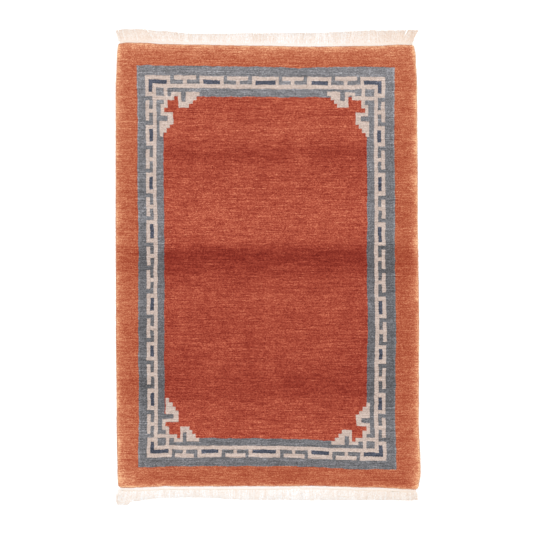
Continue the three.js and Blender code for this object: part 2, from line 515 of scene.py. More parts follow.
class Tree:
    """Adds nodes and links to a shader or geometry tree."""

    def __init__(self, tree: bpy.types.NodeTree) -> None:
        """Empties a tree, to build it anew."""
        self.tree = tree
        tree.nodes.clear()

    def node(
        self,
        kind: str,
        settings: dict[str, Any] | None = None,
        inputs: dict[str | int, Any] | None = None,
    ) -> bpy.types.Node:
        """Adds one node.

        Args:
            kind: The node's type.
            settings: Its properties, set first. `stops` fills a ramp with places and colours.
            inputs: Wires or values for its sockets, by name or by number.

        Returns:
            The node.
        """
        node = self.tree.nodes.new(kind)
        for name, value in (settings or {}).items():
            if name == "stops":
                self._fill_ramp(node.color_ramp, value)
            else:
                setattr(node, name, value)
        for key, value in (inputs or {}).items():
            socket = node.inputs[key] if isinstance(key, int) else self._named(node.inputs, key)
            if isinstance(value, Wire):
                self.tree.links.new(value.socket, socket)
            else:
                socket.default_value = value
        return node

    def wire(
        self,
        kind: str,
        settings: dict[str, Any] | None = None,
        inputs: dict[str | int, Any] | None = None,
        output: str | None = None,
    ) -> Wire:
        """Adds one node and wraps one of its outputs, the first one unless it is named."""
        return Wire(self, self._named(self.node(kind, settings, inputs).outputs, output))

    def math(self, operation: str, *values: Wire | float, clamp: bool = False) -> Wire:
        """Adds a Math node on values and wraps its result."""
        settings = {"operation": operation, "use_clamp": clamp}
        return self.wire("ShaderNodeMath", settings, dict(enumerate(values)))

    def vector(self, x: Wire | float, y: Wire | float, z: Wire | float = 0.0) -> Wire:
        """Joins three numbers to a vector."""
        return self.wire("ShaderNodeCombineXYZ", inputs={"X": x, "Y": y, "Z": z})

    def parts(self, vector: Wire) -> tuple[Wire, Wire, Wire]:
        """Parts a vector into three numbers."""
        node = self.node("ShaderNodeSeparateXYZ", inputs={"Vector": vector})
        return tuple(Wire(self, node.outputs[axis]) for axis in "XYZ")

    @staticmethod
    def _named(sockets: Iterable[bpy.types.NodeSocket], name: str | None) -> bpy.types.NodeSocket:
        """Finds the socket in use that has a name, or the first in use."""
        return next(s for s in sockets if s.enabled and name in (None, s.name))

    @staticmethod
    def _fill_ramp(ramp: bpy.types.ColorRamp, stops: Sequence[tuple[float, Any]]) -> None:
        """Gives a ramp its stops."""
        while len(ramp.elements) < len(stops):
            ramp.elements.new(1.0)
        for element, (place, colour) in zip(ramp.elements, stops):
            element.position = place
            element.color = colour


@dataclass(frozen=True)
class Dye:
    """A yarn's colour, as the display values that it has in the studio's light.

    Values past 255 are for pale threads, which the gaps between them darken. The nap is a lightness
    that carries the yarn's grain and its painted shade and light; where it is painted darker, warm yarn
    is painted deeper as well as darker, so each dye says how strongly its red, green and blue follow
    the nap, and how strongly its grain shows.
    """

    colour: tuple[int, int, int]
    follow: Triple = (1.0, 1.0, 1.0)
    grain: float = 1.0

    def linear(self) -> Triple:
        """Turns the display values into the linear colour that a shader takes."""
        shares = [value / 255 for value in self.colour]
        lit = [s / 12.92 if s <= 0.04045 else ((s + 0.055) / 1.055) ** 2.4 for s in shares]
        return tuple(value / DAYLIGHT for value in lit)

    def under(self, tree: Tree, nap: Wire) -> Wire:
        """Gives the colour under a nap, a lightness that carries grain and painted shade and light: 0
        where it lies evenly and higher where lighter.
        """
        gains = [(nap * share).exp() for share in self.follow]
        inputs = {0: tree.vector(*gains), 1: self.linear()}
        return tree.wire("ShaderNodeVectorMath", {"operation": "MULTIPLY"}, inputs)


@dataclass(frozen=True)
class Finish:
    """A matt yarn surface, with its relief."""

    name: str
    roughness: float = 0.95
    specular: float = 0.12
    sheen: float = 0.03
    relief: float = 0.5
    fray: float = 0.9
    fray_size: float = 1.1

    def colour(self, tree: Tree) -> Wire:
        """Gives the surface's colour."""
        raise NotImplementedError

    def height(self, tree: Tree) -> Wire:
        """Gives the relief's height, from 0 to about 1."""
        raise NotImplementedError

    def material(self) -> bpy.types.Material:
        """Builds the material."""
        material = bpy.data.materials.new(self.name)
        material.use_nodes = True
        tree = Tree(material.node_tree)
        relief = {"Strength": self.relief, "Distance": 1 * MM, "Height": self.height(tree)}
        shader = tree.wire(
            "ShaderNodeBsdfPrincipled",
            inputs={
                "Base Color": self.colour(tree),
                "Roughness": self.roughness,
                "Specular IOR Level": self.specular,
                "Sheen Weight": self.sheen,
                "Sheen Roughness": 0.6,
                "Normal": tree.wire("ShaderNodeBump", inputs=relief),
            },
        )
        tree.node("ShaderNodeOutputMaterial", inputs={"Surface": shader})
        LOG.info("finish %s: %d nodes", self.name, len(material.node_tree.nodes))
        return material

    @staticmethod
    def scaled_place(tree: Tree, size: Triple) -> Wire:
        """Gives the place on the piece, counted in patches of a size in millimetres."""
        place = tree.wire("ShaderNodeTexCoord", output="Object")
        scale = tuple(1 / (length * MM) for length in size)
        return tree.wire("ShaderNodeVectorMath", {"operation": "MULTIPLY"}, {0: place, 1: scale})

    def noise(self, tree: Tree, size: Triple, detail: float = 2) -> Wire:
        """Gives soft noise whose patches have a size in millimetres, evenly about 0."""
        inputs = {"Vector": self.scaled_place(tree, size), "Scale": 1.0, "Detail": detail}
        return tree.wire("ShaderNodeTexNoise", inputs=inputs, output="Fac") - 0.5

    def cells(self, tree: Tree, size: Span, output: str) -> Wire:
        """Gives frayed cells of a size in millimetres, as random colours or as distances."""
        fibre = self.scaled_place(tree, (self.fray_size, self.fray_size, THROUGH))
        inputs = {"Vector": fibre, "Scale": 1.0, "Detail": 2.0}
        stray = tree.wire("ShaderNodeTexNoise", inputs=inputs, output="Color")
        even = self.scaled_place(tree, (*size, 1000))
        inputs = {0: stray, 1: (self.fray, self.fray, 0.0), 2: even}
        place = tree.wire("ShaderNodeVectorMath", {"operation": "MULTIPLY_ADD"}, inputs)
        settings = {"voronoi_dimensions": "2D"}
        inputs = {"Vector": place, "Scale": 1.0, "Randomness": 0.8}
        return tree.wire("ShaderNodeTexVoronoi", settings, inputs, output)


@dataclass(frozen=True)
class PileFinish(Finish):
    """Cut wool pile, with the fret, the field and the borders knotted in five dyes."""

    name: str = "wool pile"
    relief: float = 0.6
    border: Dye = Dye((187, 99, 69), WARM, 0.6)
    field: Dye = Dye((173, 76, 56), (1.0, 1.95, 1.95), 0.82)
    band: Dye = Dye((118, 117, 120), (2.1, 2.1, 2.1), 0.5)
    fret: Dye = Dye((206, 186, 175), (0.3, 0.34, 0.36), 1.5)
    bar: Dye = Dye((80, 84, 97), (1.0, 0.95, 0.9), 1.3)
    knot: Span = (3.6, 2.6)
    knot_contrast: float = 0.72
    fleck: Span = (24.0, -23.2)
    fleck_shade: float = 0.35
    # Painted shade in the seams between the tufts and painted highlight on their heads: its strength
    # and its level.
    tuft_gap_shade: float = 1.0
    seam_level: float = 0.385
    tuft_height: float = 0.9
    streaks: Table = Table(
        ("across", "along", "detail", "strength"),
        (
            (9, 3.3, 2, 1.05),
            (52, 2.8, 1, 1.3),
            (190, 3.4, 1, 0.95),
            (26, 20, 2, 0.4),
            (90, 130, 2, 0.35),
            (0.45, 0.8, 2, 1.1),
        ),
    )
    ridges: Table = Table(
        ("across", "along", "detail", "strength"),
        (
            (26, 4.2, 2, 0.7),
            (0.5, 0.8, 2, 0.35),
        ),
    )
    edge: float = 0.09
    fuzz: float = 0.34
    fuzz_size: float = 4
    wobble: float = 0.5
    wobble_size: float = 38
    # Painted highlight along the pile's edges: its strength, its patchiness, and the palest that the
    # border is painted.
    glow: float = 0.6
    highlight_patch: float = 55
    highlight_uneven: float = 1.8
    palest: float = 0.75
    crease_patch: Span = (160, 45)
    crease_stray: float = 70
    fret_half: Span = FRET_HALF
    band_out: Edges = (2.38, 2.73, 2.47, 2.22)
    lip: Span = (0.05, 0.42)
    lip_shade: float = 0.12
    inner_lip: Span = (0.05, 1.7)
    inner_lip_share: float = 0.35
    field_in: Edges = (4.93, 5.03, 4.95, 4.97)
    box_lengths: Span = (7, 5)
    tee_lengths: Span = (6, 5)
    arch: tuple[tuple[Span, Span], ...] = (
        ((2, 8.15), (5.25, 6.2)),
        ((7.3, 8.15), (4.25, 6.2)),
        ((7.3, 10.1), (4.25, 5.15)),
        ((9.25, 10.1), (4.25, 6.4)),
    )
    block: tuple[tuple[Span, Span], ...] = (
        ((9.25, 12.15), (4.6, 8.05)),
        ((10.1, 13.1), (4.25, 7.1)),
        ((10.1, 14.1), (4.25, 6.2)),
        ((10.1, 15.1), (4.25, 5.2)),
    )
    notch: tuple[Span, Span] = ((10.1, 11.35), (2, 6.55))
    inner_band: tuple[Span, Span] = ((-9, 7.3), (-9, 5.3))
    # Painted shade of the fold creases along the length: how much darker or lighter the field, the
    # border and the band are painted.
    creases: Table = Table(
        ("along", "field", "border", "band"),
        (
            (-840, 0.0, -0.01, -0.02),
            (-760, 0.0, 0.0, -0.02),
            (-640, 0.0, -0.01, -0.01),
            (-545, -0.07, -0.05, -0.1),
            (-523, -0.19, -0.11, -0.17),
            (-500, -0.27, -0.11, -0.18),
            (-455, -0.29, -0.1, -0.24),
            (-405, -0.18, -0.08, -0.13),
            (-340, -0.1, -0.12, -0.14),
            (-240, -0.1, -0.09, -0.12),
            (-160, -0.07, -0.04, -0.07),
            (-119, -0.02, -0.05, -0.08),
            (-72, -0.14, -0.09, -0.1),
            (-48, -0.16, -0.12, -0.1),
            (-24, -0.25, -0.16, -0.14),
            (0, -0.34, -0.17, -0.21),
            (23, -0.43, -0.21, -0.23),
            (50, -0.49, -0.24, -0.19),
            (71, -0.28, -0.15, -0.16),
            (94, -0.04, -0.05, -0.06),
            (118, 0.01, -0.01, 0.0),
            (180, 0.07, -0.08, 0.02),
            (300, 0.02, -0.05, -0.02),
            (400, -0.07, -0.03, 0.03),
            (427, -0.15, -0.01, 0.02),
            (451, -0.26, 0.02, 0.01),
            (475, -0.09, 0.0, 0.03),
            (522, 0.07, -0.02, 0.02),
            (620, 0.0, -0.01, 0.08),
            (690, 0.0, 0.06, 0.1),
            (780, 0.0, 0.0, 0.1),
            (840, 0.0, 0.07, 0.13),
        ),
    )
    # Soft patches of painted light and shade over the pile, where its nap is painted lighter or darker.
    blooms: Table = Table(
        ("across", "along", "half_width", "half_length", "shade"),
        (
            (0, -835, 380, 60, -0.07),
            (-560, -700, 60, 190, 0.06),
            (-560, 0, 70, 700, 0.03),
            (560, 0, 70, 700, -0.03),
            (585, 660, 45, 110, -0.1),
            (-560, -855, 45, 35, 0.28),
            (505, -850, 45, 22, -0.13),
            (-270, -460, 120, 85, 0.15),
        ),
    )
    dips: Table = Table(
        ("end", "across", "width", "depth"),
        (
            (1, 9.6, 4, 0.38),
            (-1, -35, 6, -0.25),
            (-1, 17, 3, 0.2),
        ),
    )

    def bloom(self, tree: Tree) -> Wire:
        """Gives the soft patches of painted light and shade, where the nap of the whole rug is painted
        lighter or darker.
        """
        x, y, _ = tree.parts(self.scaled_place(tree, (1, 1, 1)))
        total = x * 0.0
        for across, along, half_width, half_length, shade in self.blooms.rows:
            reach = ((x - across) / half_width) ** 2 + ((y - along) / half_length) ** 2
            total = total + (reach * -1.0).exp() * shade
        return total

    def rise(self, tree: Tree, value: Wire, edge: Wire | float) -> Wire:
        """Gives 0 below an edge and 1 above it, softly."""
        slope = 1 / self.edge
        return tree.math("MULTIPLY_ADD", value - edge, slope, 0.5, clamp=True)

    def between(self, tree: Tree, value: Wire, span: Span) -> Wire:
        """Gives 1 within a span, softly."""
        return self.rise(tree, value, span[0]) - self.rise(tree, value, span[1])

    def patch(self, tree: Tree, i: Wire, j: Wire, spans: tuple[Span, Span]) -> Wire:
        """Gives 1 within a rectangle of the chart."""
        return self.between(tree, i, spans[0]) * self.between(tree, j, spans[1])

    @staticmethod
    def any_of(tree: Tree, masks: Sequence[Wire]) -> Wire:
        """Gives the highest of several masks."""
        total = masks[0]
        for mask in masks[1:]:
            total = tree.math("MAXIMUM", total, mask)
        return total

    def attribute(self, tree: Tree, name: str) -> tuple[Wire, Wire, Wire]:
        """Reads a vector that the mesh carries."""
        settings = {"attribute_name": name}
        return tree.parts(tree.wire("ShaderNodeAttribute", settings, output="Vector"))

    def chart_place(self, tree: Tree) -> tuple[Wire, Wire]:
        """Gives the knots' place in the chart, with their heads spread unevenly."""
        across, along, _ = self.attribute(tree, "chart")
        for size, amount in ((self.fuzz_size, self.fuzz), (self.wobble_size, self.wobble)):
            place = self.scaled_place(tree, (size, size, THROUGH))
            inputs = {"Vector": place, "Scale": 1.0, "Detail": 1.0}
            spread = tree.parts(tree.wire("ShaderNodeTexNoise", inputs=inputs, output="Color"))
            across = across + (spread[0] - 0.5) * amount
            along = along + (spread[1] - 0.5) * amount
        return across, along

    def fret_band(self, tree: Tree, i: Wire, j: Wire, box: float, tee: float) -> tuple[Wire, Wire]:
        """Charts one band of the fret, of boxes and tees on a running line.

        Args:
            tree: The material's tree.
            i: Steps along the band from the corner.
            j: Steps in from the band's outer line.
            box: Length of a box.
            tee: Length of a tee.

        Returns:
            Where the fret's light knots and its dark bars are.
        """
        period = box + tee + 2
        place = (i + 0.5) % period - 0.5
        stem = box + 1 + tee / 2
        ahead = self.rise(tree, i, 0)
        boxes = self.between(tree, place, (0, box))
        tees = self.between(tree, place, (box + 1, box + 1 + tee))
        bars = self.between(tree, place, (1, box - 1))
        stems = self.between(tree, place, (stem - 0.5, stem + 0.5))
        outer = (boxes + tees) * self.between(tree, j, (0, 1))
        middle = self.between(tree, j, (1, 2))
        inner = self.patch(tree, i, j, ((2, 99), (2, 3)))
        dark = bars * middle * ahead
        light = self.any_of(tree, (outer * ahead, (boxes - bars + stems) * middle * ahead, inner))
        return light, dark

    def corner_arm(self, tree: Tree, i: Wire, j: Wire, shifts: str) -> tuple[Wire, Wire]:
        """Charts one arm of a corner: an arch and a stepped block with a notch.

        Args:
            tree: The material's tree.
            i: Steps along the arm from the corner.
            j: Steps in from the fret's outer line.
            shifts: The name of the mesh's vector of the arm's shifts.

        Returns:
            Where the arm's light knots are, and where the band shows round it.
        """
        slide, arch_depth, block_depth = self.attribute(tree, shifts)
        along = i - slide
        arch_in, block_in = j - arch_depth, j - block_depth
        notch = self.patch(tree, along, block_in, self.notch)
        arch = [self.patch(tree, along, arch_in, spans) for spans in self.arch]
        block = [self.patch(tree, along, block_in, spans) for spans in self.block]
        light = self.any_of(tree, (self.any_of(tree, block) * (1 - notch), *arch))
        band = self.any_of(tree, (notch, self.patch(tree, along, arch_in, self.inner_band)))
        return light, band

    def band_dips(self, tree: Tree, across: Wire, along: Wire) -> Wire:
        """Gives how far the band's outer line strays inwards at each end, in the fret's steps."""
        total = across * 0.0
        for end, place, width, depth in self.dips.rows:
            here = tree.math("GREATER_THAN", along * end, 0.0)
            total = total + here * (((across - place) / width) ** 2 * -1.0).exp() * depth
        return total

    @staticmethod
    def side_of(tree: Tree, across: Wire, along: Wire, sizes: Edges) -> tuple[Wire, Wire]:
        """Picks the left or right size and the head or foot one, by the side of the middle lines."""
        left, right, head, foot = sizes
        on_right = tree.math("GREATER_THAN", across, 0.0)
        on_head = tree.math("GREATER_THAN", along, 0.0)
        return on_right * (right - left) + left, on_head * (head - foot) + foot

    def masks(self, tree: Tree) -> dict[str, Wire]:
        """Charts the whole design: where each dye but the border's is knotted."""
        across, along = self.chart_place(tree)
        a = self.fret_half[0] - abs(across)
        b = self.fret_half[1] - abs(along)
        crosswise = self.fret_band(tree, a, b, self.box_lengths[0], self.tee_lengths[0])
        lengthwise = self.fret_band(tree, b, a, self.box_lengths[1], self.tee_lengths[1])
        arm_across = self.corner_arm(tree, a, b, "arm_across")
        arm_along = self.corner_arm(tree, b, a, "arm_along")
        side_out, end_out = self.side_of(tree, across, along, self.band_out)
        side_in, end_in = self.side_of(tree, across, along, self.field_in)
        end_out = end_out - self.band_dips(tree, across, along)
        band = self.rise(tree, a + side_out, 0) * self.rise(tree, b + end_out, 0)
        outer_lip = self.between(tree, a + side_out, self.lip)
        inner_lip = self.between(tree, side_in - a, self.inner_lip) * self.inner_lip_share
        lip = self.any_of(tree, (outer_lip, inner_lip))
        field = self.rise(tree, a, side_in) * self.rise(tree, b, end_in)
        field = field * (1 - arm_across[1]) * (1 - arm_along[1])
        light = self.any_of(tree, (crosswise[0], lengthwise[0], arm_across[0], arm_along[0]))
        dark = self.any_of(tree, (crosswise[1], lengthwise[1]))
        return {"band": band, "field": field, "fret": light, "bar": dark, "lip": lip}

    def crease_shades(self, tree: Tree) -> tuple[Wire, Wire, Wire]:
        """Gives the painted shade of the fold creases, where the nap lies over, in the field, the
        border and the band.
        """
        low, high = self.creases.rows[0][0], self.creases.rows[-1][0]
        wander = self.noise(tree, (*self.crease_patch, THROUGH), 3)
        _, y, _ = tree.parts(self.scaled_place(tree, (1, 1, 1)))
        share = (y + wander * self.crease_stray - low) / (high - low)
        stops = []
        for along, *shades in self.creases.rows:
            colour = (*(0.5 + shade for shade in shades), 1.0)
            stops.append(((along - low) / (high - low), colour))
        ramp = tree.wire("ShaderNodeValToRGB", {"stops": stops}, {"Fac": share})
        return tuple(part - 0.5 for part in tree.parts(ramp))

    def streaked(self, tree: Tree, base: Wire, streaks: Table) -> Wire:
        """Adds noise to a base, one layer for each row of a table."""
        for across, along, detail, strength in streaks.rows:
            base = base + self.noise(tree, (across, along, THROUGH), detail) * strength
        return base

    def grain(self, tree: Tree) -> Wire:
        """Gives the nap's grain: knots with painted shade in the seams between them and painted
        highlight on their heads, pale flecks, combed rows and lots of yarn.
        """
        knots, flecks, _ = tree.parts(self.cells(tree, self.knot, "Color"))
        pale = tree.math("MULTIPLY_ADD", flecks, *self.fleck, clamp=True) * self.fleck_shade
        # The tufts' heads are painted lighter and the seams between them darker.
        tuft_gap_shading = (self.seam_level - self.cells(tree, self.knot, "Distance")) * self.tuft_gap_shade
        tufts = (knots - 0.5) * self.knot_contrast + pale + tuft_gap_shading
        return self.streaked(tree, tufts, self.streaks)

    def colour(self, tree: Tree) -> Wire:
        """Gives the pile's colour, with painted crease shade, painted edge highlight and painted
        patches of light and shade.
        """
        grain = self.grain(tree)
        bloom = self.bloom(tree)
        # The painted crease shade, with the painted patches of light and shade.
        field, border, band = (shade + bloom for shade in self.crease_shades(tree))
        # Painted highlight along the edges, read from the mesh's chart and made patchy.
        _, _, rim = self.attribute(tree, "chart")
        patch = (self.highlight_patch, self.highlight_patch, THROUGH)
        glow = rim * (self.noise(tree, patch, 2) * self.highlight_uneven + 1.0) * self.glow
        masks = self.masks(tree)
        nap = tree.math("MINIMUM", grain * self.border.grain + border + glow, self.palest)
        colour = self.border.under(tree, nap)
        # Each dye takes its part's painted crease shade; the band is also lighter along its sides.
        shades = {"band": band, "field": field, "fret": band, "bar": band}
        for part, shade in shades.items():
            dye = getattr(self, part)
            shade = shade + masks["lip"] * self.lip_shade if part == "band" else shade
            yarn = dye.under(tree, grain * dye.grain + shade)
            inputs = {"Factor": masks[part], "A": colour, "B": yarn}
            colour = tree.wire("ShaderNodeMix", {"data_type": "RGBA"}, inputs)
        return colour

    def height(self, tree: Tree) -> Wire:
        """Gives the tufts' heads, with the rows that they stand in and their fibres."""
        heads = 1 - self.cells(tree, self.knot, "Distance")
        return self.streaked(tree, heads * self.tuft_height, self.ridges)


@dataclass(frozen=True)
class YarnFinish(Finish):
    """A plain yarn, a little uneven along its length, with each thread's tone, which on some pieces
    also carries painted shade and light.
    """

    dye: Dye = Dye((188, 100, 70), WARM)
    patch: Triple = (12, 12, 12)
    broad: float = 0.6
    fine: float = 0.3
    fine_patch: Triple = (2.2, 2.2, 2.2)
    twist: Triple = (1.1, 1.1, 1.1)

    def colour(self, tree: Tree) -> Wire:
        """Gives the yarn's colour."""
        # The mesh's tone: random tone, with painted shade and light where a piece paints it.
        own = tree.wire("ShaderNodeAttribute", {"attribute_name": "tone"}, output="Fac")
        fine = self.noise(tree, self.fine_patch, 1) * self.fine
        return self.dye.under(tree, own + self.noise(tree, self.patch, 2) * self.broad + fine)

    def height(self, tree: Tree) -> Wire:
        """Gives the fibres' relief."""
        return self.noise(tree, self.twist, 2)


def piece_of(
    name: str, mesh: bpy.types.Mesh, replaced: Sequence[str] = ()
) -> bpy.types.Object:
    """Makes a finished mesh a piece of the rug.

    Args:
        name: The piece's name.
        mesh: Its mesh, in its place.
        replaced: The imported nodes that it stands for.

    Returns:
        The piece.
    """
    piece = bpy.data.objects.new(name, mesh)
    bpy.context.scene.collection.objects.link(piece)
    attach(piece, BODY)
    if replaced:
        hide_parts(*replaced)
    mesh.calc_loop_triangles()
    LOG.info("piece %s: %d triangles", name, len(mesh.loop_triangles))
    return piece


def mesh_of(
    name: str,
    points: Array,
    faces: Sequence[Face],
    materials: Sequence[bpy.types.Material],
    smooth: bool = True,
) -> bpy.types.Mesh:
    """Makes a mesh from points and faces."""
    mesh = bpy.data.meshes.new(name)
    mesh.from_pydata(points.tolist(), [], faces)
    for material in materials:
        mesh.materials.append(material)
    mesh.polygons.foreach_set("use_smooth", [smooth] * len(mesh.polygons))
    mesh.update()
    return mesh


def store(mesh: bpy.types.Mesh, name: str, values: Array) -> None:
    """Stores a number, or a row of three, for each vertex."""
    kind, field = ("FLOAT_VECTOR", "vector") if values.ndim == 2 else ("FLOAT", "value")
    attribute = mesh.attributes.new(name, kind, "POINT")
    attribute.data.foreach_set(field, np.ascontiguousarray(values, np.float32).ravel())


def numbers_of(items: bpy.types.bpy_prop_collection, name: str) -> Array:
    """Reads a whole number of each of a mesh's faces or face corners."""
    numbers = np.zeros(len(items), np.int32)
    items.foreach_get(name, numbers)
    return numbers


def set_atlas(mesh: bpy.types.Mesh, corners: Array) -> None:
    """Stores the flat layout of the faces, one place for each face corner."""
    layer = mesh.uv_layers.new(name="OFBake")
    layer.data.foreach_set("uv", np.ascontiguousarray(corners, np.float32).ravel())


@dataclass
class KnottedPile:
    """The knotted cloth of the rug: a lumpy cut pile over a flat woven back."""

    plan: RugPlan
    fret: FretPlan
    pitch: float = 5.5
    rim: tuple[float, ...] = (0, 1.2, 2.6, 4.5, 7, 10, 14)
    inset: Insets = (1.6, 0.9, 1.1)
    walls: Table = Table(
        ("height", "sides", "head", "foot"),
        (
            (2.6, 5.4, 0.9, 1.3),
            (0, 5.8, 1.1, 1.6),
        ),
    )
    back_step: int = 4
    lumps: Table = Table(
        ("across", "along", "height", "seed"),
        (
            (17, 9, 0.42, 3.0),
            (60, 34, 0.4, 5.0),
            (8, 7, 0.3, 7.0),
        ),
    )
    lump_fade: float = 6
    peel: float = 0.5
    corner_reach: float = 30
    atlas_scale: float = 0.52
    atlas_margin: float = 0.012
    back_share: float = 0.5
    back_right: float = 0.98

    def shares(self, half: float) -> Array:
        """Gives the grid's lines from -1 to 1: close at both rims, even between them."""
        rim = 1 - np.array(self.rim) / half
        steps = round(2 * (half - self.rim[-1]) / self.pitch)
        lines = 2 * len(self.rim) + steps - 1
        steps += -(lines - 1) % self.back_step
        middle = np.linspace(-rim[-1], rim[-1], steps + 1)[1:-1]
        return np.concatenate((-rim, middle, rim[::-1]))

    def build(self, materials: Sequence[bpy.types.Material]) -> bpy.types.Object:
        """Builds the piece.

        Args:
            materials: The pile's finish and the back's.

        Returns:
            The piece, closed, with its chart, its arms' shifts and its flat layout.
        """
        across, along = self.shares(self.plan.half_width), self.shares(self.plan.half_length)
        grid_across, grid_along = np.meshgrid(across, along)
        x, y = self.plan.plan(grid_across, grid_along, self.inset)
        distance = self.plan.distance_in(grid_across, grid_along)
        lumps = self.lumpiness(x, y) * np.clip(distance / self.lump_fade, 0, 1)
        z = self.plan.pile_top(distance, x, y) + lumps
        top = np.stack((x, y, z), axis=-1).reshape(-1, 3)
        rim = self.outline_indices(len(across), len(along))
        points, faces = [top], self.grid_faces(len(across), len(along))
        ring = rim
        count = len(top)
        for height, *inset in self.walls.rows:
            spots = self.plan.plan(grid_across.ravel()[rim], grid_along.ravel()[rim], inset)
            points.append(np.column_stack((*spots, np.full(len(rim), height))))
            below = np.arange(count, count + len(rim))
            faces += self.ring_faces(below, ring)
            ring = below
            count += len(rim)
        top_faces = len(faces)
        back, back_faces = self.back(top, ring, count, len(across), len(along))
        points.append(back)
        faces += back_faces
        points = np.concatenate(points)
        mesh = mesh_of("Knotted_Pile", self.plan.in_metres(*points.T), faces, materials)
        mesh.polygons.foreach_set("material_index", [0] * top_faces + [1] * len(back_faces))
        self.chart(mesh, points)
        self.lay_out(mesh, points, rim, top_faces, len(top))
        return piece_of("Knotted_Pile", mesh, ("Knotted_Rug",))

    def lumpiness(self, x: Array, y: Array) -> Array:
        """Gives the pile's small lumps, and its combed rows that run across."""
        total = np.zeros_like(x)
        for across, along, height, seed in self.lumps.rows:
            total += height * unevenness(x, y, (across, along), seed)
        return total

    @staticmethod
    def grid_faces(columns: int, rows: int) -> list[Face]:
        """Gives the four-sided faces of a grid of points, seen from above."""
        first = (np.arange(rows - 1)[:, None] * columns + np.arange(columns - 1)).ravel()
        faces = np.stack((first, first + 1, first + columns + 1, first + columns), axis=-1)
        return [tuple(face) for face in faces.tolist()]

    @staticmethod
    def outline_indices(columns: int, rows: int) -> Array:
        """Gives the grid's outer points, counter-clockwise from above, each once."""
        foot = np.arange(columns - 1)
        right = np.arange(rows - 1) * columns + columns - 1
        head = (rows - 1) * columns + np.arange(columns - 1, 0, -1)
        left = np.arange(rows - 1, 0, -1) * columns
        return np.concatenate((foot, right, head, left))

    @staticmethod
    def ring_faces(low: Array, high: Array) -> list[Face]:
        """Joins two rings of points by faces that look outwards."""
        faces = np.stack((low, np.roll(low, -1), np.roll(high, -1), high), axis=-1)
        return [tuple(face) for face in faces.tolist()]

    def back(
        self, top: Array, ring: Array, count: int, columns: int, rows: int
    ) -> tuple[Array, list[Face]]:
        """Makes the flat back, on every few lines of the top's grid.

        Args:
            top: The top's points.
            ring: The numbers of the wall's lowest points.
            count: How many points there are before the back's own.
            columns: Lines across.
            rows: Lines along.

        Returns:
            The back's own points and its faces, which look down.
        """
        step = self.back_step
        numbers = {}
        for number, index in zip(ring.tolist(), self.outline_indices(columns, rows).tolist()):
            numbers[divmod(index, columns)] = number
        own = []
        for row in range(step, rows - 1, step):
            for column in range(step, columns - 1, step):
                numbers[row, column] = count + len(own)
                own.append(row * columns + column)
        points = top[own].copy()
        points[:, 2] = 0
        faces = []
        for row in range(0, rows - 1, step):
            for column in range(0, columns - 1, step):
                walk = [(row, column + i) for i in range(step)]
                walk += [(row + i, column + step) for i in range(step)]
                walk += [(row + step, column + step - i) for i in range(step)]
                walk += [(row + step - i, column) for i in range(step)]
                face = [numbers[place] for place in walk if place in numbers]
                faces.append(tuple(reversed(face)))
        return points, faces

    def chart(self, mesh: bpy.types.Mesh, points: Array) -> None:
        """Gives each vertex its place in the fret's chart, its painted edge highlight and its corner's
        shifts.
        """
        place = self.fret.place(points[:, 0], points[:, 1])
        glow = self.plan.edge_highlight(points[:, 0], points[:, 1])
        store(mesh, "chart", np.column_stack((place, glow)))
        store(mesh, "arm_across", self.fret.arm_shifts(place, lengthwise=False))
        store(mesh, "arm_along", self.fret.arm_shifts(place, lengthwise=True))

    def lay_out(
        self, mesh: bpy.types.Mesh, points: Array, rim: Array, top_faces: int, top: int
    ) -> None:
        """Lays the faces out flat: the pile with its edge peeled outwards, and the back beside it.

        Args:
            mesh: The piece's mesh.
            points: Its points, in millimetres.
            rim: The numbers of the top's outer points.
            top_faces: How many faces the pile and its wall have.
            top: How many points the top has.
        """
        peeled = points[:, :2].copy()
        outer = points[rim]
        outermost = np.abs(outer[:, :2]).max(axis=0) - self.corner_reach
        sign = np.where(np.abs(outer[:, :2]) > outermost, np.sign(outer[:, :2]), 0)
        fall = self.plan.thickness - self.plan.side_wall
        near = np.clip(1 - self.edge_gap(points) / self.plan.pile_round, 0, 1)
        peeled += np.sign(peeled) * near * fall * self.peel
        reach = np.zeros(len(rim))
        for number in range(len(self.walls.rows)):
            first = top + number * len(rim)
            ring = points[first : first + len(rim)]
            reach += np.linalg.norm(ring - outer, axis=1)
            outer = ring
            peeled[first : first + len(rim)] = peeled[rim] + sign * reach[:, None]
        low = peeled.min(axis=0)
        above = (peeled - low) * MM * self.atlas_scale + self.atlas_margin
        under = (points[:, :2] - low) * MM * self.atlas_scale * self.back_share
        under = under * (-1, 1) + (self.back_right, self.atlas_margin)
        loops = numbers_of(mesh.loops, "vertex_index")
        on_back = np.arange(len(loops)) >= numbers_of(mesh.polygons, "loop_start")[top_faces]
        set_atlas(mesh, np.where(on_back[:, None], under[loops], above[loops]))

    def edge_gap(self, points: Array) -> Array:
        """Measures in from the box round the cloth, separately across and along."""
        outermost = np.abs(points[:, :2]).max(axis=0)
        return np.maximum(outermost - np.abs(points[:, :2]), 0)


